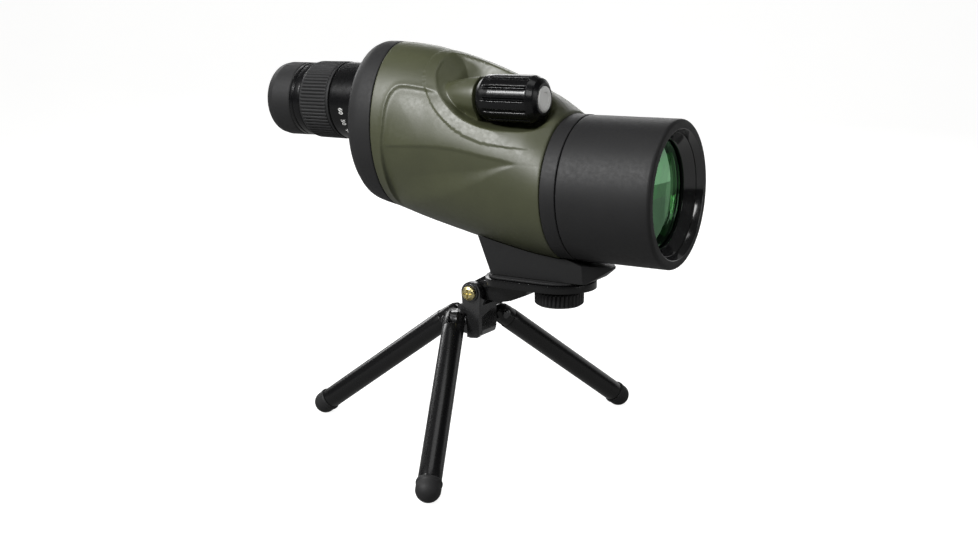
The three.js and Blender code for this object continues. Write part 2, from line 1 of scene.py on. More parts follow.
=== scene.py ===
"""Spotting scope on a small folding table tripod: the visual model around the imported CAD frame.

Everything is written in millimetres in the scope's own frame: origin at the centre of the
sunshade's front rim, +X forward, +Z up. The eyepiece is at the -X end, the camera on the -Y side.
"""
import math

import bmesh
import bpy
import numpy as np
from mathutils import Matrix, Vector


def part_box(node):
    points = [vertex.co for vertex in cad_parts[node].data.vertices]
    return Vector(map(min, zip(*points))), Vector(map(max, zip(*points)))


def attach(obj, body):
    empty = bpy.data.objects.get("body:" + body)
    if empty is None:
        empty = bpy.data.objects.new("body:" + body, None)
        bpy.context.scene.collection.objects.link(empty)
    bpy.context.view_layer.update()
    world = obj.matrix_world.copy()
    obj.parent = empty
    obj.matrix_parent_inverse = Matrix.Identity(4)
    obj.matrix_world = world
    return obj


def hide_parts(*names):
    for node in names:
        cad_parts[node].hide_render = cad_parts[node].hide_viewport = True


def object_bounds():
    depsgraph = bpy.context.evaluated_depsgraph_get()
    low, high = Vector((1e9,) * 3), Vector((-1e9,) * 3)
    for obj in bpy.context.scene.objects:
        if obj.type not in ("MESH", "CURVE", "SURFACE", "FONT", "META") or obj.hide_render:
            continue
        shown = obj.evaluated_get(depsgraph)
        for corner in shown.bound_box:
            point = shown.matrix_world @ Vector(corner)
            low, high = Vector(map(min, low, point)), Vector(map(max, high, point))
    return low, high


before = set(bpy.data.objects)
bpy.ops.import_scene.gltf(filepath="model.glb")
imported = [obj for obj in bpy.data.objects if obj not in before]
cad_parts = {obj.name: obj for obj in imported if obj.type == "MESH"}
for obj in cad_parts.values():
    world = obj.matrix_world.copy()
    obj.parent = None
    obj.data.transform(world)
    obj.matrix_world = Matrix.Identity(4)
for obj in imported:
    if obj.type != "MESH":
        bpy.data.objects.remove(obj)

scene = bpy.context.scene
cad_lo, cad_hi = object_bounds()

# ---------------------------------------------------------------- frame of reference
# The CAD's sunshade says where the scope's origin lies.
shade_lo, shade_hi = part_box("sunshade")
ORIGIN = np.array([shade_hi.x * 1000, (shade_lo.y + shade_hi.y) * 500,
                   (shade_lo.z + shade_hi.z) * 500])


def to_world(points):
    """Scope millimetres to world metres."""
    return (np.asarray(points, float) + ORIGIN) / 1000.0


def ends(node):
    """Low and high corners of a CAD piece, in the scope's frame."""
    return [np.array(corner) * 1000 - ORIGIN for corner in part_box(node)]


def centre(node):
    """Centre of a CAD piece, in the scope's frame."""
    low, high = (np.array(corner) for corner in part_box(node))
    return (low + high) * 500 - ORIGIN


EYE_Z = float(centre("eyepiece_base")[2])
KNOB_Y, KNOB_Z = (float(v) for v in centre("focus_knob_cap")[1:])
KNOB_REAR, KNOB_FRONT = (float(corner[0]) for corner in ends("focus_knob"))
KNOB_R = 11.0
PLATE_T = 3.4
PLATE_TOP = float(ends("platform")[1][2])
PLATE_BOTTOM = PLATE_TOP - PLATE_T
SCREW_X = float(centre("mount_screw")[0])
TILT_X, _, TILT_Z = (float(v) for v in centre("tilt_washer"))
GROUND = float(cad_lo.z * 1000 - ORIGIN[2])
BODY_REAR, BODY_FRONT = -148.0, -53.2

# Placement arguments of the turned parts that are off the main axis
EYE_AXIS = dict(centre=(0, EYE_Z))
KNOB_AXIS = dict(centre=(KNOB_Y, KNOB_Z))
SCREW_AXIS = dict(axis="z", centre=(SCREW_X, 0))
TILT_AXIS = dict(axis="y", centre=(TILT_Z, TILT_X))

# ---------------------------------------------------------------- shader helpers


def feed(tree, socket, value):
    """Link an input to an output, or set it to a number or a colour."""
    if isinstance(value, bpy.types.NodeSocket):
        tree.links.new(value, socket)
    else:
        socket.default_value = (*value, 1.0) if isinstance(value, tuple) else value


def ramp(tree, source, start, end, low=0.0, high=1.0):
    """Map start..end to low..high, clamped."""
    node = tree.nodes.new("ShaderNodeMapRange")
    node.inputs["From Min"].default_value = start
    node.inputs["From Max"].default_value = end
    node.inputs["To Min"].default_value = low
    node.inputs["To Max"].default_value = high
    node.clamp = True
    tree.links.new(source, node.inputs["Value"])
    return node.outputs["Result"]


def mix_colour(tree, factor, first, second):
    node = tree.nodes.new("ShaderNodeMix")
    node.data_type = "RGBA"
    for index, value in ((0, factor), (6, first), (7, second)):
        feed(tree, node.inputs[index], value)
    return node.outputs[2]


def calc(tree, operation, first, second):
    node = tree.nodes.new("ShaderNodeMath")
    node.operation = operation
    feed(tree, node.inputs[0], first)
    feed(tree, node.inputs[1], second)
    return node.outputs[0]


def noise(tree, coords, scale, detail=3.0, rough=0.55):
    node = tree.nodes.new("ShaderNodeTexNoise")
    node.inputs["Scale"].default_value = scale
    node.inputs["Detail"].default_value = detail
    node.inputs["Roughness"].default_value = rough
    tree.links.new(coords, node.inputs["Vector"])
    return node.outputs["Fac"]


def mm_coords(tree):
    """Object coordinates in millimetres."""
    source = tree.nodes.new("ShaderNodeTexCoord")
    mapping = tree.nodes.new("ShaderNodeMapping")
    mapping.inputs["Scale"].default_value = (1000, 1000, 1000)
    tree.links.new(source.outputs["Object"], mapping.inputs["Vector"])
    return mapping.outputs["Vector"]


# ---------------------------------------------------------------- materials
MATERIALS = {}


def finish(name, color, rough, grain, grain_height, tint, rough_var=0.08, metal=0.0, spec=0.5,
           coat=0.0, coat_rough=0.08, wear=None, wear_amount=0.0, dust=0.0, cell=None):
    """A procedural surface finish.

    grain and cell are pattern cells per millimetre, grain_height the bump in millimetres, tint the
    spread of the colour, wear the colour of rubbed convex edges, dust the cover on upward faces.
    """
    mat = MATERIALS[name] = bpy.data.materials.new(name)
    mat.use_nodes = True
    tree = mat.node_tree
    bsdf = tree.nodes["Principled BSDF"]
    coords = mm_coords(tree)
    broad = noise(tree, coords, scale=0.07, detail=4.0)
    mottle = noise(tree, coords, scale=0.55)
    fine = noise(tree, coords, scale=grain, detail=2.0, rough=0.6)
    dark = tuple(c * (1 - tint) for c in color)
    light = tuple(min(1, c * (1 + tint)) for c in color)
    base = mix_colour(tree, ramp(tree, broad, 0.3, 0.7), dark, light)
    base = mix_colour(tree, ramp(tree, fine, 0.35, 0.65, 0.0, tint), base, light)
    roughness = ramp(tree, mottle, 0.3, 0.7,
                     low=max(0.02, rough - rough_var), high=min(1, rough + rough_var))
    if wear:
        geometry = tree.nodes.new("ShaderNodeNewGeometry")
        edge = ramp(tree, geometry.outputs["Pointiness"], 0.54, 0.64)
        mask = calc(tree, "MULTIPLY", edge, ramp(tree, mottle, 0.42, 0.62, 0.15, 1.0))
        mask = calc(tree, "MULTIPLY", mask, wear_amount)
        base = mix_colour(tree, mask, base, wear)
        roughness = calc(tree, "ADD", roughness, calc(tree, "MULTIPLY", mask, 0.12))
    if dust:
        geometry = tree.nodes.new("ShaderNodeNewGeometry")
        axes = tree.nodes.new("ShaderNodeSeparateXYZ")
        tree.links.new(geometry.outputs["Normal"], axes.inputs[0])
        upward = ramp(tree, axes.outputs["Z"], 0.35, 1.0)
        specks = ramp(tree, noise(tree, coords, scale=1.6, detail=5.0, rough=0.7), 0.52, 0.7)
        mask = calc(tree, "MULTIPLY", calc(tree, "MULTIPLY", upward, specks), dust)
        base = mix_colour(tree, mask, base, (0.45, 0.44, 0.41))
        roughness = calc(tree, "ADD", roughness, calc(tree, "MULTIPLY", mask, 0.3))
    for socket, value in (("Base Color", base), ("Roughness", roughness), ("Metallic", metal),
                          ("Specular IOR Level", spec), ("Coat Weight", coat),
                          ("Coat Roughness", coat_rough)):
        feed(tree, bsdf.inputs[socket], value)
    height = fine
    if cell:
        cells = tree.nodes.new("ShaderNodeTexVoronoi")
        cells.inputs["Scale"].default_value = cell
        tree.links.new(coords, cells.inputs["Vector"])
        height = calc(tree, "ADD", calc(tree, "MULTIPLY", cells.outputs["Distance"], 0.8),
                      calc(tree, "MULTIPLY", fine, 0.5))
    bump = tree.nodes.new("ShaderNodeBump")
    bump.inputs["Strength"].default_value = 1.0
    bump.inputs["Distance"].default_value = grain_height / 1000
    tree.links.new(height, bump.inputs["Height"])
    tree.links.new(bump.outputs["Normal"], bsdf.inputs["Normal"])


def coated_glass(name, body, reflection, strength):
    """Clear glass under a coloured anti-reflection coating, whose reflection carries the colour."""
    mat = MATERIALS[name] = bpy.data.materials.new(name)
    mat.use_nodes = True
    tree = mat.node_tree
    tree.nodes.clear()
    output = tree.nodes.new("ShaderNodeOutputMaterial")
    clear = tree.nodes.new("ShaderNodeBsdfRefraction")
    clear.inputs["Color"].default_value = (*body, 1)
    clear.inputs["Roughness"].default_value = 0.0
    clear.inputs["IOR"].default_value = 1.15
    coords = mm_coords(tree)
    coating = tree.nodes.new("ShaderNodeBsdfGlossy")
    patches = ramp(tree, noise(tree, coords, scale=0.05, detail=2.0), 0.35, 0.65)
    tint = mix_colour(tree, patches, reflection, tuple(c * 0.8 for c in reflection))
    tree.links.new(tint, coating.inputs["Color"])
    smears = noise(tree, coords, scale=0.6, detail=4.0)
    tree.links.new(ramp(tree, smears, 0.4, 0.7, low=0.01, high=0.04), coating.inputs["Roughness"])
    fresnel = tree.nodes.new("ShaderNodeFresnel")
    fresnel.inputs["IOR"].default_value = 1.55
    share = calc(tree, "ADD", calc(tree, "MULTIPLY", fresnel.outputs[0], 0.9), strength)
    share = calc(tree, "MINIMUM", share, 1.0)
    mix = tree.nodes.new("ShaderNodeMixShader")
    tree.links.new(share, mix.inputs[0])
    tree.links.new(clear.outputs[0], mix.inputs[1])
    tree.links.new(coating.outputs[0], mix.inputs[2])
    tree.links.new(mix.outputs[0], output.inputs["Surface"])


finish("armour", color=(0.045, 0.049, 0.022), rough=0.46, spec=0.6, grain=2.6, grain_height=0.007,
       tint=0.08, rough_var=0.04, wear=(0.20, 0.21, 0.14), wear_amount=0.3, cell=1.9)
finish("rubber", color=(0.013, 0.013, 0.0135), rough=0.6, spec=0.28, grain=3.2, grain_height=0.010,
       tint=0.10, rough_var=0.05, wear=(0.05, 0.05, 0.052), wear_amount=0.35, cell=2.4, dust=0.02)
finish("shade", color=(0.0125, 0.0125, 0.013), rough=0.56, spec=0.28, grain=5.0,
       grain_height=0.004, tint=0.08, rough_var=0.04, wear=(0.09, 0.09, 0.092), wear_amount=0.35,
       dust=0.01)
finish("gloss", color=(0.003, 0.003, 0.0034), rough=0.28, spec=0.2, coat=0.12, coat_rough=0.12,
       grain=5.0, grain_height=0.0008, tint=0.12, rough_var=0.03, wear=(0.05, 0.05, 0.052),
       wear_amount=0.3)
finish("lip", color=(0.006, 0.006, 0.0068), rough=0.16, spec=0.55, coat=0.7, coat_rough=0.05,
       grain=1.5, grain_height=0.002, tint=0.15, rough_var=0.04)
finish("plastic", color=(0.009, 0.009, 0.0094), rough=0.46, spec=0.36, grain=6.0,
       grain_height=0.004, tint=0.08, rough_var=0.04)
finish("enamel", color=(0.0035, 0.0035, 0.0038), rough=0.28, spec=0.3, coat=0.12, coat_rough=0.12,
       grain=5.0, grain_height=0.0006, tint=0.08, rough_var=0.015)
finish("bracket", color=(0.075, 0.075, 0.077), rough=0.27, metal=0.85, grain=4.0,
       grain_height=0.0012, tint=0.06, rough_var=0.015)
finish("brass", color=(0.60, 0.52, 0.25), rough=0.34, metal=1.0, grain=4.0, grain_height=0.008,
       tint=0.16, rough_var=0.12, wear=(0.80, 0.76, 0.55), wear_amount=0.6)
finish("steel", color=(0.46, 0.46, 0.47), rough=0.3, metal=1.0, grain=4.0, grain_height=0.006,
       tint=0.1, rough_var=0.1)
finish("silver", color=(0.88, 0.88, 0.86), rough=0.45, metal=0.35, spec=0.6, grain=5.0,
       grain_height=0.006, tint=0.06)
finish("alu", color=(0.03, 0.03, 0.032), rough=0.4, metal=0.8, grain=4.0, grain_height=0.006,
       tint=0.15)
finish("flock", color=(0.004, 0.004, 0.0045), rough=0.9, spec=0.12, grain=6.0, grain_height=0.02,
       tint=0.3, rough_var=0.05)
finish("ink", color=(0.78, 0.78, 0.76), rough=0.5, spec=0.4, grain=6.0, grain_height=0.004,
       tint=0.05)
coated_glass("glass", body=(0.86, 0.96, 0.84), reflection=(0.46, 0.86, 0.52), strength=0.26)
coated_glass("glass2", body=(0.86, 0.92, 0.74), reflection=(0.95, 0.92, 0.50), strength=0.32)
coated_glass("eyeglass", body=(0.85, 0.92, 0.95), reflection=(0.45, 0.5, 0.85), strength=0.10)

# ---------------------------------------------------------------- objects and parts


def add_object(name, data):
    ob = bpy.data.objects.new(name, data)
    scene.collection.objects.link(ob)
    return ob


def make_mesh(verts, faces, place=None):
    """A mesh from scope millimetres; place is an optional 4x4 matrix applied first."""
    verts = np.asarray(verts, float)
    if place is not None:
        verts = verts @ place[:3, :3].T + place[:3, 3]
    mesh = bpy.data.meshes.new("part")
    mesh.from_pydata([tuple(p) for p in to_world(verts)], [],
                     [tuple(int(i) for i in face) for face in faces])
    mesh.update()
    return mesh


def clean(mesh, merge=2e-6):
    """Merge doubles, drop loose vertices and turn the faces outward."""
    bm = bmesh.new()
    bm.from_mesh(mesh)
    bmesh.ops.remove_doubles(bm, verts=bm.verts, dist=merge)
    loose = [v for v in bm.verts if not v.link_faces]
    if loose:
        bmesh.ops.delete(bm, geom=loose, context="VERTS")
    bmesh.ops.recalc_face_normals(bm, faces=bm.faces)
    if bm.calc_volume(signed=True) < 0:
        bmesh.ops.reverse_faces(bm, faces=bm.faces)
    bm.to_mesh(mesh)
    bm.free()


def part(name, mesh, material, body, replaces=None, sharp=38, extra=()):
    """Finish a mesh as a visible part. sharp is the hard-edge angle, extra more materials."""
    clean(mesh)
    mesh.name = name
    mesh.shade_smooth()
    mesh.set_sharp_from_angle(angle=math.radians(sharp))
    ob = add_object(name, mesh)
    mesh.materials.clear()
    for key in (material, *extra):
        mesh.materials.append(MATERIALS[key])
    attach(ob, body)
    if replaces:
        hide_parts(replaces)
    return ob


# ---------------------------------------------------------------- outlines and curves


def smoothstep(start, end, x):
    t = np.clip((np.asarray(x, float) - start) / (end - start), 0, 1)
    return t * t * (3 - 2 * t)


def soft_max(first, second, blend):
    gap = first - second
    return 0.5 * (first + second + np.sqrt(gap * gap + blend * blend))


def fillet_corners(points, closed=True, arc_steps=4):
    """Round a 2-D outline. A point's third number is its fillet radius; without one it is sharp."""
    out = []
    count = len(points)
    for i, point in enumerate(points):
        corner = np.array(point[:2], float)
        wanted = point[2] if len(point) > 2 else 0
        if (not closed and i in (0, count - 1)) or wanted <= 0:
            out.append(corner)
            continue
        before = np.array(points[i - 1][:2], float) - corner
        after = np.array(points[(i + 1) % count][:2], float) - corner
        len_before, len_after = np.linalg.norm(before), np.linalg.norm(after)
        if len_before < 1e-6 or len_after < 1e-6:
            continue
        before, after = before / len_before, after / len_after
        angle = math.acos(max(-1.0, min(1.0, float(before @ after))))
        if angle > math.pi - 0.03:
            out.append(corner)
            continue
        reach = min(wanted / math.tan(angle / 2), 0.48 * len_before, 0.48 * len_after)
        radius = reach * math.tan(angle / 2)
        bisector = (before + after) / np.linalg.norm(before + after)
        middle = corner + bisector * radius / math.sin(angle / 2)
        start, end = corner + before * reach - middle, corner + after * reach - middle
        sweep = math.pi - angle
        for k in range(arc_steps + 1):
            f = k / arc_steps
            spoke = (math.sin((1 - f) * sweep) * start + math.sin(f * sweep) * end)
            out.append(middle + spoke / math.sin(sweep))
    return np.array(out)


def densify(points, step, closed=True):
    out = []
    count = len(points)
    for i in range(count if closed else count - 1):
        start, end = points[i], points[(i + 1) % count]
        pieces = max(1, int(math.ceil(np.linalg.norm(end - start) / step)))
        for j in range(pieces):
            out.append(start + (end - start) * j / pieces)
    if not closed:
        out.append(points[-1])
    return np.array(out)


def arc(radius, angles, middle=(0, 0)):
    return [(middle[0] + radius * math.cos(a), middle[1] + radius * math.sin(a)) for a in angles]


def rectangle(x0, y0, x1, y1):
    return [(x0, y0), (x1, y0), (x1, y1), (x0, y1)]


def pchip(xs, ys):
    """Monotone cubic curve through a table, held level beyond its ends."""
    xs, ys = np.asarray(xs, float), np.asarray(ys, float)
    gap = np.diff(xs)
    rise = np.diff(ys) / gap
    slope = np.zeros(len(xs))
    slope[0], slope[-1] = rise[0], rise[-1]
    for i in range(1, len(xs) - 1):
        if rise[i - 1] * rise[i] > 0:
            w1, w2 = 2 * gap[i] + gap[i - 1], gap[i] + 2 * gap[i - 1]
            slope[i] = (w1 + w2) / (w1 / rise[i - 1] + w2 / rise[i])

    def curve(x):
        x = np.clip(np.asarray(x, float), xs[0], xs[-1])
        i = np.clip(np.searchsorted(xs, x, side="right") - 1, 0, len(xs) - 2)
        t = (x - xs[i]) / gap[i]
        return ((2 * t**3 - 3 * t**2 + 1) * ys[i] + (t**3 - 2 * t**2 + t) * gap[i] * slope[i]
                + (-2 * t**3 + 3 * t**2) * ys[i + 1] + (t**3 - t**2) * gap[i] * slope[i + 1])
    return curve


def spline_points(points, per_span=5):
    """Catmull-Rom curve through 2-D points."""
    points = np.array(points, float)
    padded = np.vstack([2 * points[0] - points[1], points, 2 * points[-1] - points[-2]])
    out = []
    for i in range(len(points) - 1):
        p0, p1, p2, p3 = padded[i:i + 4]
        for k in range(per_span):
            t = k / per_span
            out.append(0.5 * (2 * p1 + (p2 - p0) * t + (2 * p0 - 5 * p1 + 4 * p2 - p3) * t * t
                              + (3 * p1 - p0 - 3 * p2 + p3) * t**3))
    out.append(points[-1])
    return np.array(out)


def line_distance(x, y, line):
    """Distance from points to a polyline."""
    best = np.full(x.shape, 1e9)
    for start, end in zip(line[:-1], line[1:]):
        run = end - start
        squared = float(run @ run) + 1e-12
        t = np.clip(((x - start[0]) * run[0] + (y - start[1]) * run[1]) / squared, 0, 1)
        best = np.minimum(best, np.hypot(x - start[0] - t * run[0], y - start[1] - t * run[1]))
    return best


def inside(x, y, outline):
    """True where points lie within a closed outline."""
    result = np.zeros(x.shape, bool)
    for i in range(len(outline)):
        (x0, y0), (x1, y1) = outline[i], outline[(i + 1) % len(outline)]
        if abs(y1 - y0) < 1e-12:
            continue
        result ^= ((y0 > y) != (y1 > y)) & (x < (x1 - x0) * (y - y0) / (y1 - y0) + x0)
    return result


# ---------------------------------------------------------------- solids
AXES = {"x": (0, 1, 2), "y": (1, 2, 0), "z": (2, 0, 1)}
ADD, CUT, CROP = "UNION", "DIFFERENCE", "INTERSECT"


def grid_faces(rows, cols, close_rows):
    faces = []
    for i in range(rows if close_rows else rows - 1):
        i2 = (i + 1) % rows
        for j in range(cols):
            j2 = (j + 1) % cols
            faces.append((i * cols + j, i * cols + j2, i2 * cols + j2, i2 * cols + j))
    return faces


def lathe(profile, seg, axis="x", centre=(0, 0), closed=True, arc_steps=4, step=None, relief=None,
          phase=0.0, place=None):
    """A turned solid. profile is [(along, radius[, fillet])].

    centre is the axis's place in the two other coordinates, in cyclic order; step the longest
    profile edge; relief(along, radius, angle) is added to the radius.
    """
    points = fillet_corners(profile, closed, arc_steps)
    if step:
        points = densify(points, step, closed)
    turn = np.arange(seg) / seg * 2 * math.pi + phase
    along = np.repeat(points[:, 0][:, None], seg, 1)
    radius = np.repeat(points[:, 1][:, None], seg, 1)
    angle = np.repeat(turn[None, :], len(points), 0)
    if relief is not None:
        radius = radius + relief(along, radius, angle)
    radius = np.maximum(radius, 0)
    main, second, third = AXES[axis]
    verts = np.zeros((len(points), seg, 3))
    verts[..., main] = along
    verts[..., second] = centre[0] + radius * np.cos(angle)
    verts[..., third] = centre[1] + radius * np.sin(angle)
    return make_mesh(verts.reshape(-1, 3), grid_faces(len(points), seg, closed), place)


def rod(start, end, radius, seg, **placing):
    """A plain cylinder."""
    return lathe([(start, 0), (start, radius), (end, radius), (end, 0)], seg, closed=False,
                 **placing)


def turned(name, profile, seg, material, slot, body, replaces=None, sharp=38, **shape):
    """A visible part made by one lathe."""
    return part(name, lathe(profile, seg, **shape), material, body, replaces, sharp)


def join_rings(rings):
    """Skin a closed loop of rings with equal point counts."""
    return make_mesh(np.concatenate(rings, 0), grid_faces(len(rings), len(rings[0]), True))


def prism(outline, plane, start, end, place=None):
    """An outline in plane 'xy', 'xz' or 'yz', extruded from start to end along the third axis."""
    outline = np.asarray(outline, float)
    count = len(outline)
    first, second = {"xy": (0, 1), "xz": (0, 2), "yz": (1, 2)}[plane]
    verts = np.zeros((2 * count, 3))
    for k, depth in enumerate((start, end)):
        rows = slice(k * count, (k + 1) * count)
        verts[rows, first] = outline[:, 0]
        verts[rows, second] = outline[:, 1]
        verts[rows, 3 - first - second] = depth
    faces = [tuple(range(count)), tuple(range(2 * count - 1, count - 1, -1))]
    faces += [(i, i + count, (i + 1) % count + count, (i + 1) % count) for i in range(count)]
    mesh = make_mesh(verts, faces, place)
    clean(mesh)
    return mesh


def bake(ob):
    """Evaluated mesh of a temporary object, which is removed."""
    graph = bpy.context.evaluated_depsgraph_get()
    mesh = bpy.data.meshes.new_from_object(ob.evaluated_get(graph))
    bpy.data.objects.remove(ob, do_unlink=True)
    return mesh


def combine(base, steps, bevel=0.0, bevel_seg=3, angle=30):
    """Boolean chain of (ADD | CUT | CROP, mesh) steps, then a bevel along edges above the angle."""
    clean(base)
    ob = add_object("tmp_base", base)
    tools = []
    for operation, mesh in steps:
        clean(mesh)
        tool = add_object("tmp_tool", mesh)
        tools.append(tool)
        modifier = ob.modifiers.new("boolean", "BOOLEAN")
        modifier.operation, modifier.object, modifier.solver = operation, tool, "EXACT"
    mesh = bake(ob)
    for tool in tools:
        bpy.data.objects.remove(tool, do_unlink=True)
    if bevel > 0:
        bm = bmesh.new()
        bm.from_mesh(mesh)
        bmesh.ops.remove_doubles(bm, verts=bm.verts, dist=2e-5)
        bmesh.ops.dissolve_limit(bm, angle_limit=math.radians(0.6), verts=bm.verts, edges=bm.edges)
        bm.to_mesh(mesh)
        bm.free()
        ob = add_object("tmp_bevel", mesh)
        modifier = ob.modifiers.new("bevel", "BEVEL")
        modifier.width, modifier.segments = bevel / 1000, bevel_seg
        modifier.limit_method, modifier.angle_limit = "ANGLE", math.radians(angle)
        modifier.use_clamp_overlap = True
        modifier.harden_normals = False
        mesh = bake(ob)
    return mesh


def pitch_offset(angle, count):
    """Distance from the nearest of count even marks round a circle, as a share of their pitch."""
    u = (angle / (2 * math.pi) * count) % 1.0
    return np.minimum(u, 1 - u)


def band(along, radius, rear, front, radii):
    """1 between two fades along the axis and beyond a fade in radius, 0 outside."""
    return smoothstep(*rear, along) * (1 - smoothstep(*front, along)) * smoothstep(*radii, radius)


def grooves(count, depth, width, rear, front, radii):
    """Relief of even grooves within a band; width is a share of their pitch."""
    def relief(along, radius, angle):
        cut = depth * np.exp(-(pitch_offset(angle, count) / width) ** 2)
        return -cut * band(along, radius, rear, front, radii)
    return relief


# ---------------------------------------------------------------- body surface
# Body sections: x, top z, bottom z, half width
SECTIONS = np.array([
    [-165, 59, -7, 24.6], [-163.4, 62.6, -10.6, 27.7], [-160.5, 65.2, -13.2, 30.0],
    [-156, 66.5, -14.7, 30.8], [-148, 66.3, -16.4, 31.1], [-132, 64.7, -20.6, 31.8],
    [-120, 62.3, -23.4, 32.3], [-108, 59.1, -26, 32.8], [-97, 55.7, -28.3, 33.2],
    [-86, 51.8, -30.4, 33.6], [-75, 47.4, -32.3, 34.0], [-64, 42.2, -33.8, 34.3],
    [-53, 35.0, -34.6, 34.5]])
top_z, bottom_z, half_width = (pchip(SECTIONS[:, 0], SECTIONS[:, k]) for k in (1, 2, 3))

# The shelf under the focusing knob, seen from the side: x, z
SHELF = np.array([
    [-117.6, 62], [-117.1, 57], [-116.6, 52.5], [-114.5, 48.2], [-111.4, 43.6], [-107.3, 39.6],
    [-99.7, 33.9], [-92.2, 30.4], [-84.4, 28.4], [-76, 27.5], [-68, 27.3], [-62, 27.8],
    [-57, 29.0], [-53, 30.4]])
shelf_z = pchip(SHELF[:, 0], SHELF[:, 1])

# Outline of the knob's recess on the surface: x, degrees up from the camera's side (-Y)
RECESS = [
    (-112.6, 87.5), (-114.3, 83.6), (-116.2, 73.2), (-117.1, 63), (-116.7, 52.3), (-114.7, 44.7),
    (-111.4, 37.9), (-107.3, 33.0), (-99.7, 27.8), (-92.2, 25.9), (-84.4, 26.2), (-76, 28.8),
    (-68.1, 32.6), (-61.0, 37.6), (-57.2, 44), (-56.0, 52), (-55.8, 62), (-56.4, 72),
    (-59.0, 79.5), (-65, 83.5), (-75, 85.5), (-88, 87), (-100, 88.5), (-108.5, 89.3),
    (-112.6, 87.5)]
MM_PER_DEGREE = 0.62
recess_outline = spline_points(RECESS) * np.array([1, MM_PER_DEGREE])
TROUGH_R = 13

# Cone behind the knob: x, radius
CONE = np.array([[-120, 0.1], [-118, 1.2], [-112, 5.2], [-104, 8.0], [-97, 9.25], [-92.9, 9.6],
                 [-92.5, 9.3], [-92.3, 8.4], [-92.2, 0.1]])
cone_radius = pchip(CONE[:, 0], CONE[:, 1])
CONE_FRONT = CONE[-1, 0]

# Rear and upper edge of the moulded side panel: x, z. The area closes it forward and below.
PANEL = spline_points([
    (-141.6, -14), (-142.4, -8.5), (-142.6, -3), (-142.5, 4), (-142.3, 10.4), (-141.9, 18),
    (-140.7, 26), (-139.8, 35.5), (-138.3, 41.7), (-135.6, 45.2), (-131.9, 46.3), (-124.6, 45.8),
    (-116.2, 44.6), (-108, 42.8)])
PANEL_AREA = np.vstack([PANEL, [(-60, 42), (-60, -40), (-141, -40)]])
# Upper and lower edges of the flute along each side: rows of x and of z
flute_top = pchip([-143, -130, -121, -110, -103, -96, -88.5, -81.5, -73.5, -64],
                  [17.4, 18.2, 18.7, 19.0, 18.7, 18.1, 17.0, 15.9, 14.9, 13.4])
flute_low = pchip([-143, -130, -115, -102, -92, -84, -78, -72, -64],
                  [-9, -6.5, -3.0, 0.2, 3.5, 6.2, 8.7, 11.1, 13.4])
PANEL_MAX = 2.15  # the panel's depth levels off towards this
EDGE_ROUND = 0.6  # rounding of the armour's front and rear edges
INNER_SPREAD = range(-5, 6)  # grid neighbours the inner surface must clear


def section(x):
    """Centre z, half height and half width of the body."""
    top, bottom, half = top_z(x), bottom_z(x), half_width(x)
    return (top + bottom) / 2, (top - bottom) / 2, half


def panel_depth(x, z):
    """Inward depth of the moulded side panel."""
    distance = line_distance(x, z, PANEL)
    fade = smoothstep(-17, -5, z) * (1 - smoothstep(-119, -108, x))
    step = 0.95 * (1 - np.exp(-(distance / 0.9) ** 1.5)) * np.exp(-distance / 11.0)
    ridge = -0.22 * np.exp(-(distance / 1.6) ** 2)
    depth = np.where(inside(x, z, PANEL_AREA), step, ridge) * fade
    top = flute_top(x)
    width = np.maximum(top - flute_low(x), 0.6)
    across = (top - z) / width
    shape = np.where(across < 0.66, np.clip(across, 0, 1) / 0.66,
                     1 - smoothstep(0.66, 1.22, across))
    amount = (2.25 * np.clip(width / 20, 0, 1.15) ** 0.8 * smoothstep(-142.9, -140.6, x)
              * (1 - smoothstep(-70, -63, x) * 0.6))
    depth = depth + np.where(across > 0, shape * amount, 0)
    bulge = (0.55 * np.exp(-((z - top) / 7.5) ** 2)
             * np.where(across < 0, 1, np.exp(-(across * width / 0.5) ** 2)))
    return depth - bulge * smoothstep(-141.5, -136, x) * (1 - smoothstep(-78, -64, x))


def cut_recess(shell, x, angle, dir_y, dir_z, mid_z):
    """Radii with the knob's recess cut in, and the distance inside its outline."""
    degrees = np.degrees(angle)
    across = degrees * MM_PER_DEGREE
    distance = line_distance(x, across, recess_outline)
    inset = np.where(inside(x, across, recess_outline), distance, -distance)
    slope = 0.62 + 1.15 * smoothstep(-109, -97, x)
    soft = 0.40 + 2.2 * smoothstep(-84, -62, x)
    depth = slope * (inset + np.sqrt(inset * inset + soft * soft)) / 2
    depth = np.where(inset < -6, 0, depth)
    lip = (0.14 * np.exp(-((inset + 0.8) / 0.9) ** 2) * (1 - smoothstep(-84, -70, x))
           * (1 - smoothstep(75, 88, degrees)))
    sides = shell - depth + lip
    # the shelf, and the trough's wall rising past the knob: bisect along each ray
    low, high = np.zeros_like(shell), shell * 1.02
    shelf = shelf_z(np.clip(x, -117.4, -53))
    for _ in range(26):
        middle = (low + high) / 2
        y, z = middle * dir_y, mid_z + middle * dir_z
        past = np.maximum(y - KNOB_Y, 0)
        wall = np.where(past < 11.5, TROUGH_R - np.sqrt(np.maximum(TROUGH_R**2 - past * past, 1)),
                        6.94 + (past - 11.5) * 4.2)
        error = z - (shelf + wall)
        high = np.where(error > 0, middle, high)
        low = np.where(error > 0, low, middle)
    floor = np.minimum((low + high) / 2, shell)
    radii = np.where(inset > -6, soft_max(sides, floor, 0.9), shell)
    radii = np.minimum(radii, shell + 0.35)
    return shell - (shell - radii) * (1 - smoothstep(-64.5, -53.6, x)), inset


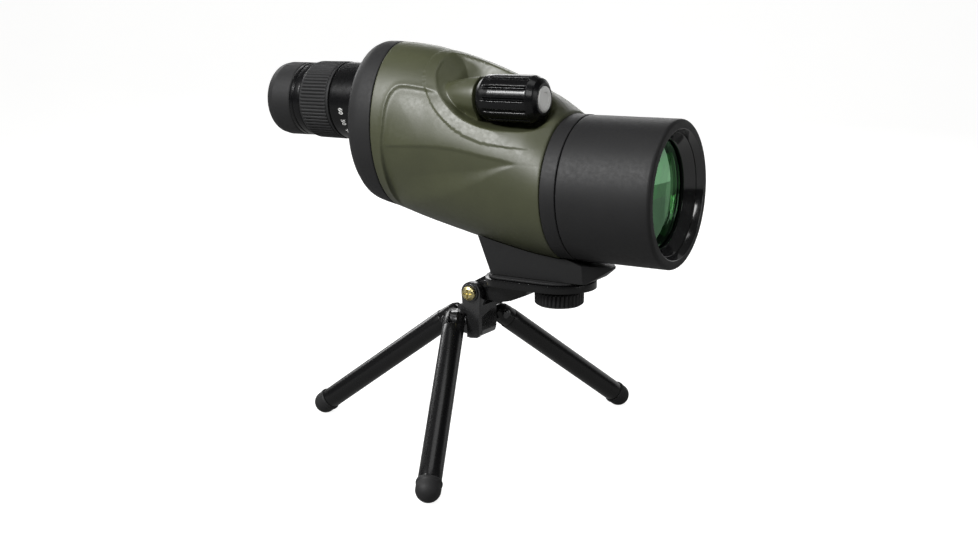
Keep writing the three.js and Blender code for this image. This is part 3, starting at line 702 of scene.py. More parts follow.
def add_cone(radii, inset, x, dir_y, dir_z, mid_z):
    """Blend the cone behind the knob into the recess."""
    cone = np.where(x < CONE_FRONT, cone_radius(x), 0.0)
    rise = KNOB_Z - mid_z
    along = dir_y * KNOB_Y + dir_z * rise
    lateral = np.abs(dir_y * rise - dir_z * KNOB_Y)
    chord = np.sqrt(np.clip(cone * cone - lateral * lateral, 0, None))
    reach = along + chord - 2.6 * np.maximum(lateral - cone * 0.96, 0)
    reach = np.where((cone > 0) & (along > 0), reach, 0)
    blended = soft_max(radii, reach, np.where(x < -93.4, 1.0, 0.25))
    return np.where((reach > radii - 4) & (inset > -4), blended, radii)


def body_grid(stations, degrees):
    """Armour radii on a grid of stations and angles: with and without the side panels.

    The rays' y and z directions and their start z come along.
    """
    x = np.repeat(stations[:, None], len(degrees), 1)
    angle = np.repeat(np.radians(degrees)[None, :], len(stations), 0)
    mid_z, half_h, half_w = section(x)
    y, z = -half_w * np.cos(angle), half_h * np.sin(angle)
    shell = np.hypot(y, z)
    dir_y, dir_z = y / shell, z / shell
    plain, inset = cut_recess(shell, x, angle, dir_y, dir_z, mid_z)
    plain = add_cone(plain, inset, x, dir_y, dir_z, mid_z)
    # the panels fade out at the recess and towards the top and bottom
    sideways = np.abs(np.cos(angle))
    depth = panel_depth(x, mid_z + plain * dir_z)
    keep = (np.where(dir_y < 0, 1 - smoothstep(-1.5, 0.6, inset), 1.0)
            * smoothstep(0.12, 0.45, sideways))
    slant = 1.0 / np.maximum(0.6, sideways + 0.2)
    depth = depth * keep * np.minimum(slant, 1.1)
    depth = np.where(depth > 0, PANEL_MAX * np.tanh(depth / PANEL_MAX), depth)
    return plain - depth, plain, dir_y, dir_z, mid_z


def spaced(start, end, spacing):
    """Values from start to end with a varying step."""
    out, x = [start], start
    while x < end:
        x += spacing(x)
        out.append(min(x, end))
    if out[-1] - out[-2] < 0.25 * spacing(end):
        out.pop(-2)
    return np.array(out)


def station_step(x):
    if x < -147.4 or x > -53.9:
        return 0.18
    if -144.5 < x < -137.5:
        return 0.4
    if -93.4 < x < -91.9:
        return 0.12
    if -119.5 < x < -92:
        return 0.5
    if -60.5 < x < -54.5:
        return 0.35
    return 0.75


def angle_step(degrees):
    degrees = (degrees + 180) % 360 - 180
    if 18 < degrees < 100:
        return 0.72
    if -40 < degrees <= 18:
        return 0.95
    if 140 < degrees or degrees < -140:
        return 1.2
    return 1.5


def body_armour():
    """Hollow shell: the moulded outer surface, returning inside on a coarser one."""
    stations = spaced(BODY_REAR, BODY_FRONT, station_step)
    degrees = spaced(-100.0, 260.0, angle_step)[:-1]
    outer, plain, dir_y, dir_z, mid_z = body_grid(stations, degrees)
    edge = np.minimum(stations - stations[0], stations[-1] - stations)
    height = np.sqrt(np.maximum(EDGE_ROUND**2 - (EDGE_ROUND - edge) ** 2, 0))
    outer = outer - np.where(edge < EDGE_ROUND, EDGE_ROUND - height, 0)[:, None]
    count = len(stations)
    lowest = np.min([np.roll(plain, k, 1) for k in INNER_SPREAD], 0)
    lowest = np.min([lowest[np.clip(np.arange(count) + k, 0, count - 1)] for k in INNER_SPREAD], 0)
    inner = np.minimum(lowest - 2.2, outer - 0.6)

    def ring(i, radii):
        return np.stack([np.full(len(degrees), stations[i]), radii * dir_y[i],
                         mid_z[i] + radii * dir_z[i]], 1)

    rings = [ring(i, outer[i]) for i in range(count)]
    for i in sorted({*range(0, count, 5), count - 1}, reverse=True):
        rings.append(ring(i, inner[max(0, i - 2):min(count, i + 3)].min(0)))
    part("body_armour", join_rings(rings), "armour", "scope", "rubber_armour", sharp=60)


body_armour()

# ---------------------------------------------------------------- rear cover
RING_POINTS = 240
ring_angles = np.arange(RING_POINTS) / RING_POINTS * 2 * math.pi - math.pi / 2
CAP_FRONT = -148.3
SHOULDER_X, CAP_REAR, CAP_INNER = -163.4, -165, -161.0


def oval(x, inset, section_x=None):
    """A ring at x, inset from the body section at x or at section_x."""
    mid_z, half_h, half_w = section(x if section_x is None else section_x)
    return np.stack([np.full(RING_POINTS, x), (half_w - inset) * np.cos(ring_angles),
                     mid_z + (half_h - inset) * np.sin(ring_angles)], 1)


def eye_ring(x, radius):
    return np.stack([np.full(RING_POINTS, x), radius * np.cos(ring_angles),
                     EYE_Z + radius * np.sin(ring_angles)], 1)


def rear_cap():
    """Moulded cap with a rounded shoulder and a round opening for the eyepiece."""
    rings = [oval(x, inset) for x, inset in
             ((CAP_FRONT, 0.55), (-148.42, 0.3), (-148.62, 0.1), (-148.95, 0.0))]
    for start, end, count in ((-149.6, -156, 9), (-157, -160.5, 7), (-161.1, SHOULDER_X, 8)):
        rings += [oval(x, 0) for x in np.linspace(start, end, count)]
    for k in range(1, 9):
        bend = k / 8 * math.pi / 2
        rings.append(oval(SHOULDER_X - 1.6 * math.sin(bend), 4.6 * (1 - math.cos(bend)),
                          SHOULDER_X))
    face, opening = rings[-1], eye_ring(CAP_REAR, 17.6)
    for f in (0.25, 0.5, 0.75, 1.0):
        rings.append(face * (1 - f) + opening * f)
    for x, radius in ((-164.95, 17.2), (-164.75, 16.9), (-164.4, 16.75), (-161.2, 16.7),
                      (CAP_INNER, 17.0)):
        rings.append(eye_ring(x, radius))
    opening, wall = rings[-1], oval(CAP_INNER, 3.0)
    for f in (0.5, 1.0):
        rings.append(opening * (1 - f) + wall * f)
    rings += [oval(x, 2.5) for x in (-158.5, -155, -151.5, CAP_FRONT)]
    part("rear_cap", join_rings(rings), "rubber", "scope", "rear_cover", sharp=50)


rear_cap()

# ---------------------------------------------------------------- front end
# Profiles of turned parts here and below are (along the axis, radius, fillet).
HOOD_R, HOOD_BORE, HOOD_REAR = 34.0, 32.0, -45.1
RIM_REAR = -3.1


def lens_hood():
    mesh = lathe([(HOOD_REAR, HOOD_BORE, .15), (HOOD_REAR, HOOD_R, .5), (0, HOOD_R, 1.7),
                  (0, 29.6, .55), (RIM_REAR, 28.0, .1), (RIM_REAR, HOOD_BORE, .15)],
                 seg=240, arc_steps=7, step=2.5)
    ob = part("lens_hood", mesh, "shade", "sunshade", "sunshade", extra=("lip",))
    # the bevel inside the front rim is glossy
    for face in ob.data.polygons:
        x, y, z = face.center * 1000
        if math.hypot(y - ORIGIN[1], z - ORIGIN[2]) < 29.75 and x - ORIGIN[0] > -3.3:
            face.material_index = 1


lens_hood()
turned("hood_collar", [(-53.0, 31.8, .15), (-53.0, 34.3, .45), (-45.4, 34.2, .5),
                       (-45.4, 31.8, .15)],
       240, "shade", "shade_black", "scope", "collar_ring", arc_steps=5)
turned("front_barrel", [
    (-60, 27.2, .2), (-60, 29, .2), (-53.1, 29, .1), (-53.1, 31.5, .2), (-3.5, 31.5, .2),
    (-3.5, 29.6, .1), (-50, 29.6, .1), (-50, 27.2, .1)],
    160, "flock", "black_plastic", "scope", "objective_barrel", arc_steps=2)
turned("lens_retainer", [
    (-8.5, 25.1, .1), (-8.5, 29.3, .1), (-3.3, 29.3, .1), (-3.3, 27.95, .1), (-7.6, 25.45, .4),
    (-8.0, 25.1, .15)],
    220, "lip", "gloss_black", "scope", "retaining_ring", step=1.2)
turned("lens_cell", [
    (-22, 23, .2), (-22, 29.3, .2), (-8.7, 29.3, .1), (-8.7, 25.35, .1), (-18.9, 25.35, .1),
    (-18.9, 23, .2)],
    160, "flock", "black_plastic", "scope", "objective_cell", arc_steps=2)


def lens(name, replaces, material, rear, front, radius, rear_sag, front_sag, z=0.0, seg=144):
    """A lens between the edge planes rear and front, bulging by its sags at the axis."""
    steps, land = 18, 0.25
    profile = [(rear - rear_sag * (1 - (i / steps) ** 2), radius * i / steps)
               for i in range(steps + 1)]
    profile[-1] = (profile[-1][0], radius - 0.02)
    profile += [(rear + land, radius), (front - land, radius)]
    profile += [(front + front_sag * (1 - (i / steps) ** 2), radius * i / steps)
                for i in range(steps, -1, -1)]
    turned(name, profile, seg, material, "coated_glass", "scope", replaces, sharp=50,
           centre=(0, z), closed=False)


lens("front_glass", "objective_crown_lens", "glass", rear=-12.2, front=-9.2, radius=25,
     rear_sag=1.9, front_sag=2.2)
lens("inner_glass", "objective_flint_lens", "glass2", rear=-18.5, front=-12.6, radius=25,
     rear_sag=0.4, front_sag=-1.9)
# stepped baffles behind the glass: x, opening radius
for k, (x, opening) in enumerate(((-27, 22.4), (-33, 21.2), (-39, 20.0))):
    turned(f"baffle_{k + 1}", [
        (x - 0.5, opening, .05), (x - 3.4, 27.0, .1), (x - 3.4, 29.4, .1), (x + 0.6, 29.4, .1),
        (x + 0.6, 28.2, .1)],
        120, "flock", "black_plastic", "scope", arc_steps=2)

# ---------------------------------------------------------------- focusing knob
KNOB_LOBES = 12


def knob_relief(along, radius, angle):
    """Rounded lobes with a pair of grooves and a shallow dip between them."""
    offset = pitch_offset(angle, KNOB_LOBES)
    groove = 1.05 * np.exp(-((offset - 0.088) / 0.040) ** 2) + 0.42 * np.exp(-(offset / 0.07) ** 2)
    crown = 0.42 * (1 - 2 * offset) ** 3
    return -(groove + crown) * band(along, radius, rear=(KNOB_REAR + 3.6, KNOB_REAR + 5.0),
                                    front=(KNOB_FRONT - 5.4, KNOB_FRONT - 4.2), radii=(7.0, 8.6))


turned("focus_wheel", [
    (KNOB_REAR, 3.2, .1), (KNOB_REAR, 9.5, .9), (KNOB_REAR + 2.2, 10.6, 1.2),
    (KNOB_REAR + 7, KNOB_R, 3), (KNOB_FRONT - 4.4, KNOB_R, 2.2), (KNOB_FRONT - 1.4, 9.5, 1.4),
    (KNOB_FRONT, 7.4, .6), (KNOB_FRONT, 6.15, .2), (KNOB_FRONT - 1.2, 6.1, .1),
    (KNOB_FRONT - 1.2, 3.2, .1)],
    480, "gloss", "gloss_black", "focus_knob", "focus_knob", sharp=50, arc_steps=6, step=0.7,
    relief=knob_relief, phase=math.radians(6), **KNOB_AXIS)
turned("focus_wheel_cap", [
    (KNOB_FRONT - 0.95, 0), (KNOB_FRONT - 0.95, 6.0, .1), (KNOB_FRONT + 0.25, 6.0, .3),
    (KNOB_FRONT + 0.6, 5.1, .4), (KNOB_FRONT + 0.62, 3.4, .1), (KNOB_FRONT + 0.35, 3.1, .1),
    (KNOB_FRONT + 0.3, 0)],
    96, "silver", "silver", "focus_knob", "focus_knob_cap", closed=False, **KNOB_AXIS)
shaft_rear, shaft_front = (corner[0] for corner in ends("focus_spindle"))
turned("focus_shaft", [
    (shaft_rear, 0), (shaft_rear, 2, .3), (-110.2, 2, .1), (-110.2, 2.8, .2),
    (shaft_front, 2.8, .2), (shaft_front, 0)],
    48, "brass", "brass", "focus_knob", "focus_spindle", closed=False, **KNOB_AXIS)

# ---------------------------------------------------------------- eyepiece
turned("eyepiece_barrel", [
    (-152, 14.3, .1), (-152, 16, .2), (-165.2, 16, .05), (-165.3, 18.6, .5), (-167.2, 19.5, .4),
    (-181.4, 19.6, .3), (-182, 19.1, .2), (-182, 16, .1), (-201.2, 16, .1), (-201.2, 14.3, .1)],
    200, "gloss", "gloss_black", "scope", "eyepiece_base", step=2, **EYE_AXIS)
GRIP_RIBS = 66
turned("zoom_grip_sleeve", [
    (-201.2, 17.7, .1), (-201.2, 19.4, .35), (-199.8, 19.75, .5), (-184.4, 19.85, .2),
    (-184.0, 19.35, .15), (-183.5, 19.75, .2), (-182.4, 19.75, .35), (-182.4, 17.7, .1)],
    GRIP_RIBS * 9, "rubber", "black_rubber", "zoom_ring", "zoom_grip", sharp=60, arc_steps=3,
    step=1.1, relief=grooves(GRIP_RIBS, depth=0.55, width=0.17, rear=(-200.6, -200.0),
                             front=(-184.7, -184.1), radii=(18.4, 19.2)), **EYE_AXIS)
turned("ocular_barrel", [
    (-201.6, 12.2, .1), (-196.4, 12.2, .1), (-196.4, 14, .1), (-201.6, 14, .1),
    (-201.6, 18.5, .25), (-202.6, 18.85, .3), (-205.4, 18.85, .15), (-205.7, 18.45, .15),
    (-206.2, 18.45, .15), (-206.5, 18.85, .15), (-208.2, 18.85, .2), (-208.2, 17, .1),
    (-219.5, 17, .1), (-219.5, 11, .3), (-217.6, 11, .1), (-217.6, 12.8, .1), (-201.6, 12.8, .1)],
    180, "gloss", "gloss_black", "scope", "ocular_head", arc_steps=3, step=2, **EYE_AXIS)
turned("eyecup_rubber", [
    (-208.5, 17.3, .2), (-208.5, 18.5, .3), (-209.3, 18.9, .5), (-219.6, 18.95, 2.0),
    (-223.2, 18.2, 2.4), (-225.4, 15.6, 1.1), (-225.0, 13.7, .7), (-223.4, 13.4, .5),
    (-220.2, 14.2, .2), (-219.9, 17.3, .2)],
    180, "rubber", "black_rubber", "scope", "eyecup", sharp=50, arc_steps=7, step=1.5, **EYE_AXIS)
lens("ocular_glass", "eye_lens", "eyeglass", rear=-216.6, front=-213, radius=12.4, rear_sag=0.6,
     front_sag=1.4, z=EYE_Z, seg=96)

DIAL_X, DIAL_R, DIAL_SIZE = -174.8, 19.6, 3.5
DIAL_START, DIAL_PITCH = -84, 18  # degrees up from the camera's side


def text_mesh(text):
    curve = bpy.data.curves.new("figure", "FONT")
    curve.body, curve.size = text, DIAL_SIZE
    curve.align_x, curve.align_y = "CENTER", "CENTER"
    curve.extrude, curve.resolution_u = 0.06, 4
    mesh = bake(add_object("tmp_text", curve))
    bpy.data.curves.remove(curve)
    clean(mesh, merge=1e-4)
    return mesh


def zoom_scale():
    """Raised white figures 20 to 60 round the eyepiece barrel, their feet towards the eye."""
    verts, faces = [], []
    for k in range(5):
        mesh = text_mesh(str(20 + 10 * k))
        base = len(verts)
        for v in mesh.vertices:
            angle = math.radians(DIAL_START + DIAL_PITCH * k) - v.co.x / DIAL_R
            radius = DIAL_R + 0.03 + v.co.z
            verts.append((DIAL_X + v.co.y, -radius * math.cos(angle),
                          EYE_Z + radius * math.sin(angle)))
        faces += [tuple(base + i for i in p.vertices) for p in mesh.polygons]
        bpy.data.meshes.remove(mesh)
    part("zoom_scale", make_mesh(verts, faces), "ink", "scope")


zoom_scale()

# ---------------------------------------------------------------- mounting foot
FOOT_TOP, FOOT_BOTTOM = -20, -43.6
# side view: x, z
FOOT_SIDE = [(-98, -24), (-91, FOOT_BOTTOM), (-40.5, FOOT_BOTTOM), (-31.5, -37.2), (-31.5, -36.2),
             (-42.4, -34.7), (-52.2, -31.5), (-53.4, FOOT_TOP), (-98, FOOT_TOP)]
# one edge of the plan, tapering to the front: x, y
FOOT_PLAN = [(-98, -15), (-43, -15), (-41.8, -12.4), (-34.2, -5.6), (-31.6, -2.4)]


def mounting_foot():
    """Block under the body, cut to fit round the body and the hood."""
    ovals = [oval(x, -0.4) for x in np.linspace(-150, BODY_FRONT, 40)]
    poles = [np.repeat(end.mean(0)[None], RING_POINTS, 0) for end in (ovals[0], ovals[-1])]
    taper = [(-12.2, FOOT_BOTTOM), (12.2, FOOT_BOTTOM), (14, FOOT_TOP), (-14, FOOT_TOP)]
    plan = FOOT_PLAN + [(x, -y) for x, y in reversed(FOOT_PLAN)]
    mesh = combine(prism(FOOT_SIDE, "xz", -16, 16), [
        (CROP, prism(taper, "yz", -110, -20)),
        (CROP, prism(plan, "xy", -60, -10)),
        (CUT, join_rings([poles[0]] + ovals + [poles[1]])),
        (CUT, rod(-56, -20, 34.8, 160)),
        (CUT, rod(-50, -36.5, 5.25, 64, **SCREW_AXIS))], bevel=0.45, angle=24)
    part("mounting_foot", mesh, "plastic", "scope", "mount_foot")


mounting_foot()
turned("brass_insert", [(-43.5, 3.5, .25), (-43.5, 5, .2), (-36.8, 5, .2), (-36.8, 3.5, .2)],
       64, "brass", "brass", "scope", "thread_insert", arc_steps=3, **SCREW_AXIS)

# ---------------------------------------------------------------- tilting platform
PLATE_R = 18
# arm under the plate, reaching back to the tilt hinge: x, z, fillet
ARM = [(-104, -59.5, .5), (-98.5, -58.8, 1), (-94.6, -58.8, .8), (-91.5, -59.6, .8),
       (-84, -57.8, 2), (-76, -54.4, 1.5), (-73.4, PLATE_BOTTOM - 0.2, .5),
       (-73.4, PLATE_TOP - 1, .3), (-98, PLATE_TOP - 1, 2), (-106.5, -51, 2)]
RIB = [(-97, -51.5), (-82, PLATE_BOTTOM + .5), (-97, PLATE_BOTTOM + .5)]


def stadium(rear, front, radius):
    """Plan with a round front end and a flatter rear end."""
    return (arc(radius, np.linspace(-math.pi / 2, math.pi / 2, 40), (front, 0))
            + [(rear + radius * 0.7 * math.cos(a), radius * math.sin(a))
               for a in np.linspace(math.pi / 2, 1.5 * math.pi, 40)])


platform = combine(prism(stadium(-85, SCREW_X, PLATE_R), "xy", PLATE_BOTTOM, PLATE_TOP), [
    (ADD, prism(fillet_corners(ARM), "xz", -5.2, 5.2)),
    (ADD, prism(RIB, "xz", -9.2, -6.6)),
    (ADD, prism(RIB, "xz", 6.6, 9.2)),
    (ADD, rod(-6.7, 6.7, 4.9, 72, **TILT_AXIS)),
    (CUT, rod(-20, 20, 2.3, 48, **TILT_AXIS)),
    (CUT, rod(-60, -40, 3.5, 48, **SCREW_AXIS))], bevel=0.55, angle=28)
part("tilt_platform", platform, "enamel", "tilt_head", "platform")
cushion = combine(prism(stadium(-84.5, SCREW_X, PLATE_R - 1.5), "xy",
                        PLATE_TOP + 0.3, PLATE_TOP + 1.3),
                  [(CUT, rod(-60, -40, 3.6, 48, **SCREW_AXIS))], bevel=0.25, bevel_seg=2)
part("platform_cushion", cushion, "rubber", "tilt_head", "platform_pad")

WHEEL_TOP = PLATE_BOTTOM - 0.3
WHEEL_TEETH = 36
turned("thumb_wheel", [
    (WHEEL_TOP - 8.6, 0), (WHEEL_TOP - 8.6, 10.2, .8), (WHEEL_TOP - 7.5, 11.9, .8),
    (WHEEL_TOP - 2.1, 12.0, .5), (WHEEL_TOP - 1.4, 11.0, .4), (WHEEL_TOP, 9.4, .4),
    (WHEEL_TOP, 3.45, .2), (WHEEL_TOP - 6.4, 3.45, .1), (WHEEL_TOP - 6.4, 0)],
    WHEEL_TEETH * 10, "plastic", "black_plastic", "mount_knob", "mount_knob", sharp=55, step=0.7,
    closed=False, relief=grooves(WHEEL_TEETH, depth=0.75, width=0.2,
                                 rear=(WHEEL_TOP - 8.2, WHEEL_TOP - 7.2),
                                 front=(WHEEL_TOP - 2.3, WHEEL_TOP - 1.7), radii=(10.2, 11.4)),
    **SCREW_AXIS)

THREAD_PITCH = 1.27


def thread_relief(along, radius, angle):
    fade = smoothstep(PLATE_BOTTOM + 0.5, PLATE_BOTTOM + 1.5, along) * smoothstep(2.4, 2.9, radius)
    wave = np.cos((along / THREAD_PITCH - angle / (2 * math.pi)) * 2 * math.pi)
    return -0.34 * (0.5 + 0.5 * wave) * fade


stud_low, stud_high = (corner[2] for corner in ends("mount_screw"))
turned("mount_stud", [(stud_low, 0), (stud_low, 3.1, .2), (stud_high, 3.1, .6), (stud_high, 0)],
       64, "steel", "steel", "mount_knob", "mount_screw", sharp=60, arc_steps=3, step=0.2,
       closed=False, relief=thread_relief, **SCREW_AXIS)

# ---------------------------------------------------------------- tripod hub
# Leg hinges: pivot x, pivot y, azimuth in degrees, length of the tongue behind the pivot
LEGS = {"front": (-112.3, -12.2, -66.3, 6.6), "right": (-101.0, 14.0, 63.9, 7.6),
        "left": (-120.5, 0.0, 186.5, 7.6)}
PIVOT_Z, REACH, FOOT_Z = -69.5, 78.5, GROUND + 5.45
TONGUE_R, PIN_HOLE_R = 4.4, 1.75
HUB_FRONT = -98.9
# plan and side view of the core: x, y or z, fillet
CORE_PLAN = [(HUB_FRONT, -10.2, 2.4), (HUB_FRONT, 7.2, 1.2), (-108.6, 7.2, .8), (-114.5, 4, .8),
             (-114.5, -6.2, .8), (-106.4, -6.2, .4), (-106.4, -10.2, .4)]
CORE_SIDE = [(HUB_FRONT, -61.3, .4), (-114.5, -62.8, 1.5), (-114.5, -76.5, 2.0),
             (-104.2, -78.1, 1.5), (-100.4, -77.7, 1.8), (-99.2, -74.5, 1)]
# ear round the tilt screw: x, z
EAR = arc(5.4, np.radians(np.linspace(-10, 190, 30)), (TILT_X, TILT_Z)) + [
    (-108.8, -61.5), (-106.3, -64.5), (-105.2, -77.0), (-103.9, -78.1), (-100.4, -77.7),
    (-99.2, -76.0), (HUB_FRONT, -60)]


def placement(x_dir, y_dir, origin):
    place = np.eye(4)
    place[:3, 0], place[:3, 1] = x_dir, y_dir
    place[:3, 2], place[:3, 3] = np.cross(x_dir, y_dir), origin
    return place


def leg_places(x, y, azimuth):
    """The hinge's level frame, the leg's frame (+X down the leg) and the leg's length."""
    turn = math.radians(azimuth)
    outward = np.array([math.cos(turn), math.sin(turn), 0])
    across = np.array([-math.sin(turn), math.cos(turn), 0])
    down = outward * REACH + np.array([0, 0, FOOT_Z - PIVOT_Z])
    length = float(np.linalg.norm(down))
    pivot = (x, y, PIVOT_Z)
    return placement(outward, across, pivot), placement(down / length, across, pivot), length


leg_frames = {key: leg_places(*row[:3]) for key, row in LEGS.items()}


def hinge_bracket():
    """Core block with an ear each side for the tilt screw and a tongue for each leg."""
    far_ear = combine(prism(EAR, "xz", 7.0, 10.2),
                      [(CROP, prism(rectangle(-120, -63.4, -90, -40), "xz", 5, 12))])
    steps = [(CROP, prism(fillet_corners(CORE_SIDE, arc_steps=5), "xz", -14, 14)),
             (ADD, prism(EAR, "xz", -10.2, -7.0)),
             (ADD, far_ear),
             (ADD, prism(rectangle(-107.8, 5.0, HUB_FRONT, 10.2), "xy", -63.4, -61.2))]
    for key, (level, _, _) in leg_frames.items():
        back = LEGS[key][3]
        tongue = (arc(TONGUE_R, np.linspace(-math.pi / 2, math.pi / 2, 24))
                  + [(-back, TONGUE_R), (-back, -TONGUE_R)])
        steps.append((ADD, prism(tongue, "xz", -1.7, 1.7, level)))
    for level, _, _ in leg_frames.values():
        steps.append((CUT, rod(-4.4, 4.4, PIN_HOLE_R, 32, axis="y", place=level)))
    steps.append((CUT, rod(-20, 20, 2.2, 48, **TILT_AXIS)))
    mesh = combine(prism(fillet_corners(CORE_PLAN, arc_steps=6), "xy", -80, -58), steps,
                   bevel=0.35)
    part("hinge_bracket", mesh, "bracket", "tripod_hub", "tripod_hub")


hinge_bracket()

# Tilt screw with a cross recess, washer and nut
CROSS_LONG, CROSS_THIN = 2.3, 0.42
head = lathe([(-13.4, 0), (-13.4, 2.3, .4), (-12.7, 3.45, .4), (-11.4, 3.7, .25), (-11.4, 1.9, .1),
              (13.6, 1.9, .3), (13.6, 0)], 80, closed=False, **TILT_AXIS)
slots = [(CUT, prism(rectangle(TILT_X - half_x, TILT_Z - half_z, TILT_X + half_x, TILT_Z + half_z),
                     "xz", -14, -12.4))
         for half_x, half_z in ((CROSS_LONG, CROSS_THIN), (CROSS_THIN, CROSS_LONG))]
part("hinge_screw", combine(head, slots), "brass", "tripod_hub", "tilt_screw")
turned("hinge_washer", [(-11.1, 2.2, .1), (-11.1, 4.4, .2), (-10.5, 4.4, .2), (-10.5, 2.2, .1)],
       64, "bracket", "steel", "tripod_hub", "tilt_washer", arc_steps=3, **TILT_AXIS)
hexagon = arc(4, np.radians(np.arange(6) * 60 + 30), (TILT_X, TILT_Z))
chamfer = [(10.5, 0), (10.5, 3.7), (10.9, 4.15), (12.7, 4.15), (13.1, 3.7), (13.1, 0)]
nut = combine(prism(hexagon, "xz", 10.5, 13.1),
              [(CROP, lathe(chamfer, 64, closed=False, **TILT_AXIS)),
               (CUT, rod(5, 20, 2.15, 48, **TILT_AXIS))])
part("hinge_nut", nut, "steel", "tripod_hub", "tilt_nut")

# ---------------------------------------------------------------- legs
# Along each leg, x runs down from the pivot.
LEG_R, PLUG_R, TIP_R = 5.5, 4.35, 5.9
CLEVIS = [(-5.4, 0), (-5.4, 2.4, .6), (-4.3, 4.0, 1.0), (-1.6, 5.1, 1.5), (1.5, 5.4, 1),
          (5.7, 5.45, .15), (5.7, 4.3, .1), (26, 4.3, .4), (26, 0)]
CLEVIS_SIDE = (arc(LEG_R, np.linspace(math.pi / 2, 1.5 * math.pi, 30))
               + [(27, -LEG_R), (27, LEG_R)])
CLEVIS_SLOT = [(-7, -2.05), (6.4, -2.05), (7.3, -1.4), (7.6, 0), (7.3, 1.4), (6.4, 2.05),
               (-7, 2.05)]
PIN = [(-6.4, 0), (-6.35, 1.5, .4), (-5.5, 2.6, .2), (-5.5, 1.4, .05), (5.5, 1.4, .05),
       (5.5, 2.6, .2), (6.35, 1.5, .4), (6.4, 0)]


def leg(key, place, length):
    """Forked top, tube, rubber tip cut flat on the ground, and hinge pin."""
    name = body = f"leg_{key}"
    clevis = combine(lathe(CLEVIS, 96, closed=False, place=place), [
        (CROP, prism(CLEVIS_SIDE, "xz", -6, 6, place)),
        (CUT, prism(CLEVIS_SLOT, "xy", -8, 8, place)),
        (CUT, rod(-8, 8, PIN_HOLE_R, 32, axis="y", place=place))],
        bevel=0.25, bevel_seg=2, angle=35)
    part(f"{name}_clevis", clevis, "enamel", body, f"{name}_fork")
    turned(f"{name}_rod", [(5.85, PLUG_R, .1), (5.85, LEG_R, .3), (length - 4.7, LEG_R, .2),
                           (length - 4.7, PLUG_R, .1)],
           96, "enamel", "black_enamel", body, f"{name}_tube", step=6, place=place)
    dome = [(length + 5.78 * math.sin(a), TIP_R * math.cos(a))
            for a in np.linspace(0, math.pi / 2, 20)]
    tip = lathe([(length - 10, 0), (length - 10, 4.2, .3), (length - 4.4, 4.2, .1),
                 (length - 4.4, TIP_R, .3), (length - 3.8, 6.15, .3), (length - 2.8, 6.15, .3),
                 (length - 2.2, TIP_R, .3)] + dome, 96, closed=False, arc_steps=3, place=place)
    x, y = (place[:2, 3] + place[:2, 0] * length)
    below = prism(rectangle(x - 30, y - 30, x + 30, y + 30), "xy", GROUND - 20, GROUND + 0.02)
    part(f"{name}_tip", combine(tip, [(CUT, below)]), "rubber", body,
         f"{name}_foot")
    turned(f"{name}_pin", PIN, 48, "bracket", "steel", body, f"{name}_rivet", axis="y",
           closed=False, arc_steps=3, place=place)


for key, (_, place, length) in leg_frames.items():
    leg(key, place, length)

# ---------------------------------------------------------------- CAD pieces that stay on show
CAD_MATERIALS = {
    "plastic": ("main_housing", "rear_bulkhead", "zoom_sleeve"),
    "eyeglass": ("erecting_prism_rear", "erecting_prism_front", "focus_lens", "zoom_front_lens",
                 "zoom_rear_lens"),
    "alu": ("prism_plate", "focus_carriage", "zoom_front_cell", "zoom_rear_cell"),
    "steel": ("prism_clip_rear", "prism_clip_front", "focus_guide_rod", "zoom_drive_pin"),
    "brass": ("focus_bushing", "zoom_cam_tube")}
for key, nodes in CAD_MATERIALS.items():
    for node in nodes:
        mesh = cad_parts[node].data
        mesh.materials.clear()
        mesh.materials.append(MATERIALS[key])

# ---------------------------------------------------------------- stage
CAMERA_YAW = math.radians(31.0)
# backdrop, in metres
SWEEP_REAR, SWEEP_BEND, SWEEP_TOP, SWEEP_HALF_WIDTH = 1.1, 0.9, 2.6, 4.0


def backdrop_material():
    """Pale paper, bright to the camera but dim in the light it bounces."""
    mat = bpy.data.materials.new("backdrop")
    mat.use_nodes = True
    tree = mat.node_tree
    bsdf = tree.nodes["Principled BSDF"]
    rays = tree.nodes.new("ShaderNodeLightPath").outputs
    patches = ramp(tree, noise(tree, mm_coords(tree), scale=0.01), 0.3, 0.7)
    paper = mix_colour(tree, patches, (0.44, 0.44, 0.44), (0.46, 0.46, 0.457))
    seen = calc(tree, "MULTIPLY", rays["Is Camera Ray"], 0.86)
    mirrored = calc(tree, "MULTIPLY", rays["Is Glossy Ray"], 0.2)
    base = mix_colour(tree, rays["Is Camera Ray"], (0.13, 0.13, 0.128), paper)
    for socket, value in (("Base Color", base), ("Roughness", 0.85), ("Specular IOR Level", 0.1),
                          ("Emission Color", (1, 1, 0.995)),
                          ("Emission Strength", calc(tree, "ADD", seen, mirrored))):
        feed(tree, bsdf.inputs[socket], value)
    return mat


def studio_sweep():
    """Floor curving up into a wall behind the scope, square to the camera."""
    profile = [(-1.6, 0.0), (SWEEP_REAR, 0.0)]
    profile += [(SWEEP_REAR + SWEEP_BEND * math.sin(a), SWEEP_BEND * (1 - math.cos(a)))
                for a in np.linspace(0.06, math.pi / 2, 24)]
    profile.append((SWEEP_REAR + SWEEP_BEND, SWEEP_TOP))
    away = np.array([-math.sin(CAMERA_YAW), math.cos(CAMERA_YAW)])
    sideways = np.array([math.cos(CAMERA_YAW), math.sin(CAMERA_YAW)])
    verts = []
    for depth, height in profile:
        for side in (-SWEEP_HALF_WIDTH, SWEEP_HALF_WIDTH):
            x, y = away * depth + sideways * side
            verts.append((x, y, cad_lo.z - 0.00002 + height))
    faces = [(2 * i, 2 * i + 1, 2 * i + 3, 2 * i + 2) for i in range(len(profile) - 1)]
    mesh = bpy.data.meshes.new("studio_sweep")
    mesh.from_pydata(verts, [], faces)
    mesh.shade_smooth()
    mesh.materials.append(backdrop_material())
    add_object("studio_sweep", mesh)


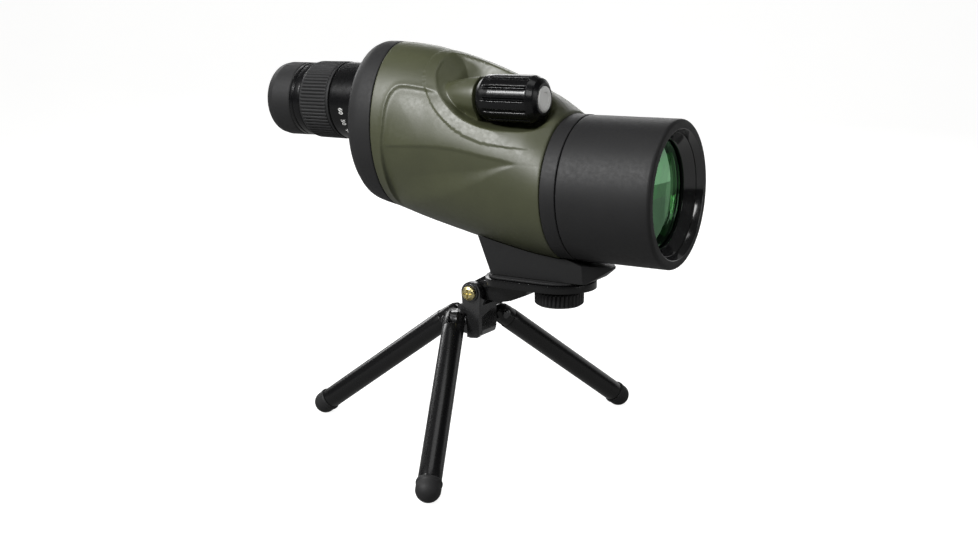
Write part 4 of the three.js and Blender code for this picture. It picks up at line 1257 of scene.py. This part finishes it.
def studio_world():
    """Dim ambient light, stronger from above; plain bright to the camera."""
    world = bpy.data.worlds.new("studio")
    scene.world = world
    world.use_nodes = True
    tree = world.node_tree
    background = tree.nodes["Background"]
    rays = tree.nodes.new("ShaderNodeLightPath").outputs
    coords = tree.nodes.new("ShaderNodeTexCoord")
    axes = tree.nodes.new("ShaderNodeSeparateXYZ")
    tree.links.new(coords.outputs["Generated"], axes.inputs[0])
    gradient = ramp(tree, axes.outputs["Z"], -0.15, 0.9, low=0.25, high=1.0)
    ambient = calc(tree, "MULTIPLY", gradient, 0.085)
    strength = tree.nodes.new("ShaderNodeMix")
    strength.data_type = "FLOAT"
    for index, value in ((0, rays["Is Camera Ray"]), (2, ambient), (3, 0.9)):
        feed(tree, strength.inputs[index], value)
    tree.links.new(strength.outputs[0], background.inputs["Strength"])
    background.inputs["Color"].default_value = (1, 1, 1, 1)


studio_sweep()
studio_world()

# ---------------------------------------------------------------- lights
target_x, _, target_z = to_world((-100, 0, -10))
TARGET = Vector((float(target_x), 0.0, float(target_z)))
# Softboxes: azimuth (degrees from the camera's side, positive to its right), elevation (degrees),
# distance (m), width (m), height (m), power (W)
LIGHTS = {
    "key": (-56, 33, 1.1, 0.32, 0.22, 15.0),
    "front": (0, 31, 1.25, 0.30, 0.44, 3.2),
    "top": (10, 80, 1.3, 0.8, 0.5, 2.8),
    "side": (62, 12, 1.4, 0.42, 0.6, 2.5),
    "card": (134, 2, 1.3, 1.1, 0.7, 1.3),
    "rim": (172, 22, 1.3, 0.8, 0.4, 4.0),
    "back": (-142, 22, 1.3, 0.6, 0.5, 5.0)}


def direction(azimuth, elevation):
    """Unit vector from the scope; azimuth turns from -Y towards +X."""
    return np.array([math.sin(azimuth) * math.cos(elevation),
                     -math.cos(azimuth) * math.cos(elevation), math.sin(elevation)])


for name, (azimuth, elevation, distance, width, height, power) in LIGHTS.items():
    outward = Vector(direction(CAMERA_YAW + math.radians(azimuth), math.radians(elevation)))
    light = bpy.data.lights.new(name, "AREA")
    light.shape, light.size, light.size_y, light.energy = "RECTANGLE", width, height, power
    ob = add_object(name, light)
    ob.location = TARGET + outward * distance
    ob.rotation_mode = "QUATERNION"
    ob.rotation_quaternion = (-outward).to_track_quat("-Z", "Y")

# ---------------------------------------------------------------- camera
CAMERA_PITCH, CAMERA_ROLL = math.radians(12.2), math.radians(-0.1)
CAMERA_PLACE = (201.0, -500.1, 78.7)
camera_data = bpy.data.cameras.new("camera")
camera_data.lens, camera_data.sensor_width = 44.17, 36.0
camera_data.clip_start, camera_data.clip_end = 0.01, 20
camera = add_object("camera", camera_data)
back = direction(CAMERA_YAW, CAMERA_PITCH)
level = np.array([math.cos(CAMERA_YAW), math.sin(CAMERA_YAW), 0.0])
upright = np.cross(back, level)
right = math.cos(CAMERA_ROLL) * level + math.sin(CAMERA_ROLL) * upright
up = -math.sin(CAMERA_ROLL) * level + math.cos(CAMERA_ROLL) * upright
columns = np.stack([right, up, back, to_world(CAMERA_PLACE)], 1)
camera.matrix_world = Matrix([*columns.tolist(), [0, 0, 0, 1]])
scene.camera = camera
scene.view_settings.view_transform = "Standard"
scene.view_settings.look = "None"
scene.view_settings.exposure = 0.0
scene.cycles.max_bounces = 10
scene.cycles.transparent_max_bounces = 12
scene.cycles.transmission_bounces = 10

bpy.context.view_layer.update()
